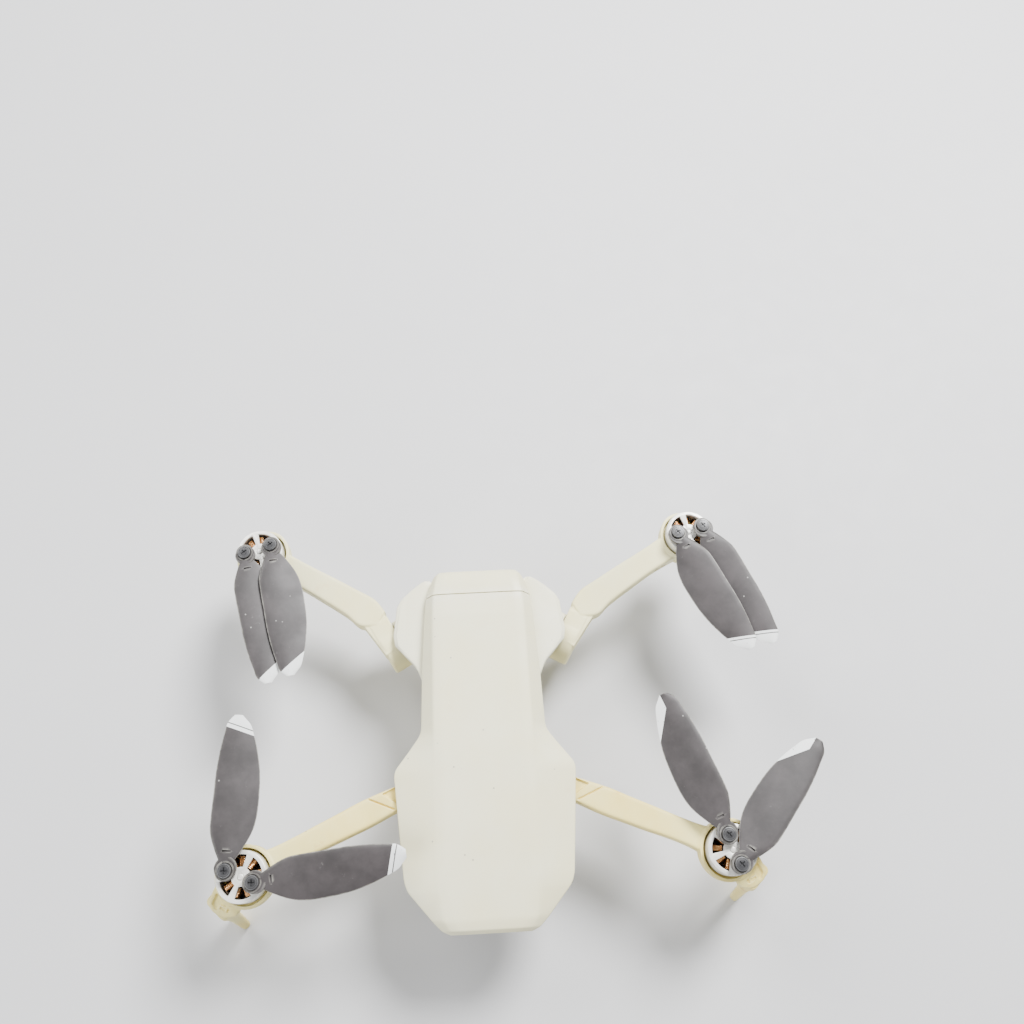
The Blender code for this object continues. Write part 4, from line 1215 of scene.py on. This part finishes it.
# share of the way from the leading to the trailing edge, and share of the thickness
FOIL = [(0.0, 0.12), (0.03, 0.5), (0.12, 0.8), (0.3, 1.0), (0.5, 0.9), (0.7, 0.66), (0.87, 0.38),
        (0.97, 0.22), (1.0, 0.1)]
HANDS = {"front_left": -1, "front_right": 1, "rear_left": 1, "rear_right": -1}
TIPS = {"front_left": {"Start": 0.925, "Slant": 0.55, "Corner": 0.04},
        "front_right": {"Start": 0.895, "Slant": 0.12, "Line": 0.925},
        "rear_left": {"Start": 0.90, "Slant": 0.15, "Line": 0.922},
        "rear_right": {"Start": 0.915, "Slant": 0.25}}


def blade_heading(corner, letter):
    """The way a packed blade points, from its screw to the middle of its far end."""
    mesh = frame["nodes"][corner + "_blade_" + letter].data
    sx, sy = middle_of(corner + "_screw_" + letter)
    points = np.array([(v.co.x, v.co.y) for v in mesh.vertices]) * 1000 - (sx, sy)
    reach = np.hypot(*points.T)
    far = points[reach > reach.max() - 0.6].mean(0)
    return math.atan2(far[1], far[0]), (sx, sy)


def blade_skin(hand):
    rings = []
    for s, lead, trail, pitch, thick in flowing(BLADE_SECTIONS, 4):
        slope = math.tan(math.radians(pitch))
        upper, lower = [], []
        for share, fat in FOIL:
            across = lead - share * (lead + trail)
            camber = 0.35 * math.sin(math.pi * share) * min(1.0, s / 20.0)
            z = BLADE_LIFT + across * slope + camber
            upper.append((s, hand * across, z + fat * thick / 2))
            lower.append((s, hand * across, z - fat * thick / 2))
        rings.append(upper + lower[::-1])
    return loft(rings)


def make_blade(corner, letter, material):
    heading, place = blade_heading(corner, letter)
    top = MOTORS[corner][2]
    name = corner + "_prop_" + letter
    blade = solid(name, blade_skin(HANDS[corner]))
    boss = turned([(3.3, 0.9), (3.5, 1.1), (3.5, 3.1), (3.3, 3.4)])
    collar = turned([(3.9, 1.9), (3.9, 3.0), (3.7, 3.2)], (0.9, 0))
    carve(blade, boss, collar, operation="UNION")
    seat = turned([(2.75, 3.05), (2.75, 5)])
    slot = prism(rounded([(6.2, -1.5), (6.9, -1.5), (6.9, 1.5), (6.2, 1.5)], 0.34, closed=True),
                 2.9, 5)
    carve(blade, seat, slot, turned([(1.2, -2), (1.2, 6)]))
    mesh = blade.data
    sheet = mesh.uv_layers.new(name="blade map")
    for loop in mesh.loops:
        co = mesh.vertices[loop.vertex_index].co * 1000
        sheet.data[loop.index].uv = (co.x / BLADE_LENGTH, co.y / 20 + 0.5)
    turn = Matrix.Rotation(heading, 4, "Z")
    mesh.transform(Matrix.Translation(Vector((place[0], place[1], top)) * MM) @ turn)
    return finish(blade, material, name, "blade_plastic", corner + "_blade_" + letter, sharp=35)


for corner in MOTORS:
    painted = blade_finish(corner.replace("_", " ") + " blade", -HANDS[corner], **TIPS[corner])
    for letter in "ab":
        make_blade(corner, letter, painted)

# %% [markdown]
# ## Camera eye
# Under the nose the lens has a dark glass dome in a ridged ring.

# %% Lens
low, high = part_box("camera_lens")
EYE = ((low + high) * 500)
eye = turned([(4.15, 0.0), (4.2, 0.2), (4.0, 0.5), (3.4, 0.62), (3.2, 0.5), (2.9, 0.5),
              (2.6, 0.66), (1.6, 0.86), (0.6, 0.95)], sides=64)
moved(eye, Matrix.Translation((EYE.x, 1000 * high.y, EYE.z)) @ Matrix.Rotation(math.pi / 2, 4, "X"))
finish(solid("camera_eye", eye), GLASS, "camera", "lens_glass", "camera_lens")

# %% [markdown]
# ## Floor and light
# A plain pale floor and wide soft lamps keep the attention on the piece.


# %% Floor and lights
def floor_finish():
    material, tree, shader = new_material("pale floor")
    where = add(tree, "ShaderNodeTexCoord").outputs["Object"]
    cloud = noise(tree, where, 6.0, 4.0)
    tree.links.new(blend(tree, cloud, rgb(0.60, 0.60, 0.61), rgb(0.66, 0.66, 0.665)),
                   shader.inputs["Base Color"])
    grain_bump(tree, shader, 0.8, 0.1, 0.6, 0.75)
    return material


def make_floor():
    half = 1500
    floor = solid("floor", prism([(-half, -half), (half, -half), (half, half), (-half, half)],
                                 GROUND_Z - 10, GROUND_Z))
    floor.data.materials.append(floor_finish())


def add_lamp(name, place, target, size, power):
    data = bpy.data.lights.new(name, "AREA")
    data.shape = "DISK"
    data.size = size
    data.energy = power
    lamp = bpy.data.objects.new(name, data)
    lamp.location = place
    aim = Vector(target) - Vector(place)
    lamp.rotation_euler = aim.to_track_quat("-Z", "Y").to_euler()
    bpy.context.scene.collection.objects.link(lamp)


make_floor()
add_lamp("key", (0.42, 0.55, 0.85), (0, 0, 0), 0.4, 30.0)
add_lamp("fill", (-0.85, -0.45, 0.75), (0, 0, 0), 0.8, 9.0)
add_lamp("side", (-0.55, 0.75, 0.95), (0, 0, 0), 0.6, 10.0)
world = bpy.data.worlds.new("soft room")
world.use_nodes = True
world.node_tree.nodes["Background"].inputs["Color"].default_value = (0.95, 0.97, 1.0, 1.0)
world.node_tree.nodes["Background"].inputs["Strength"].default_value = 0.5
bpy.context.scene.world = world
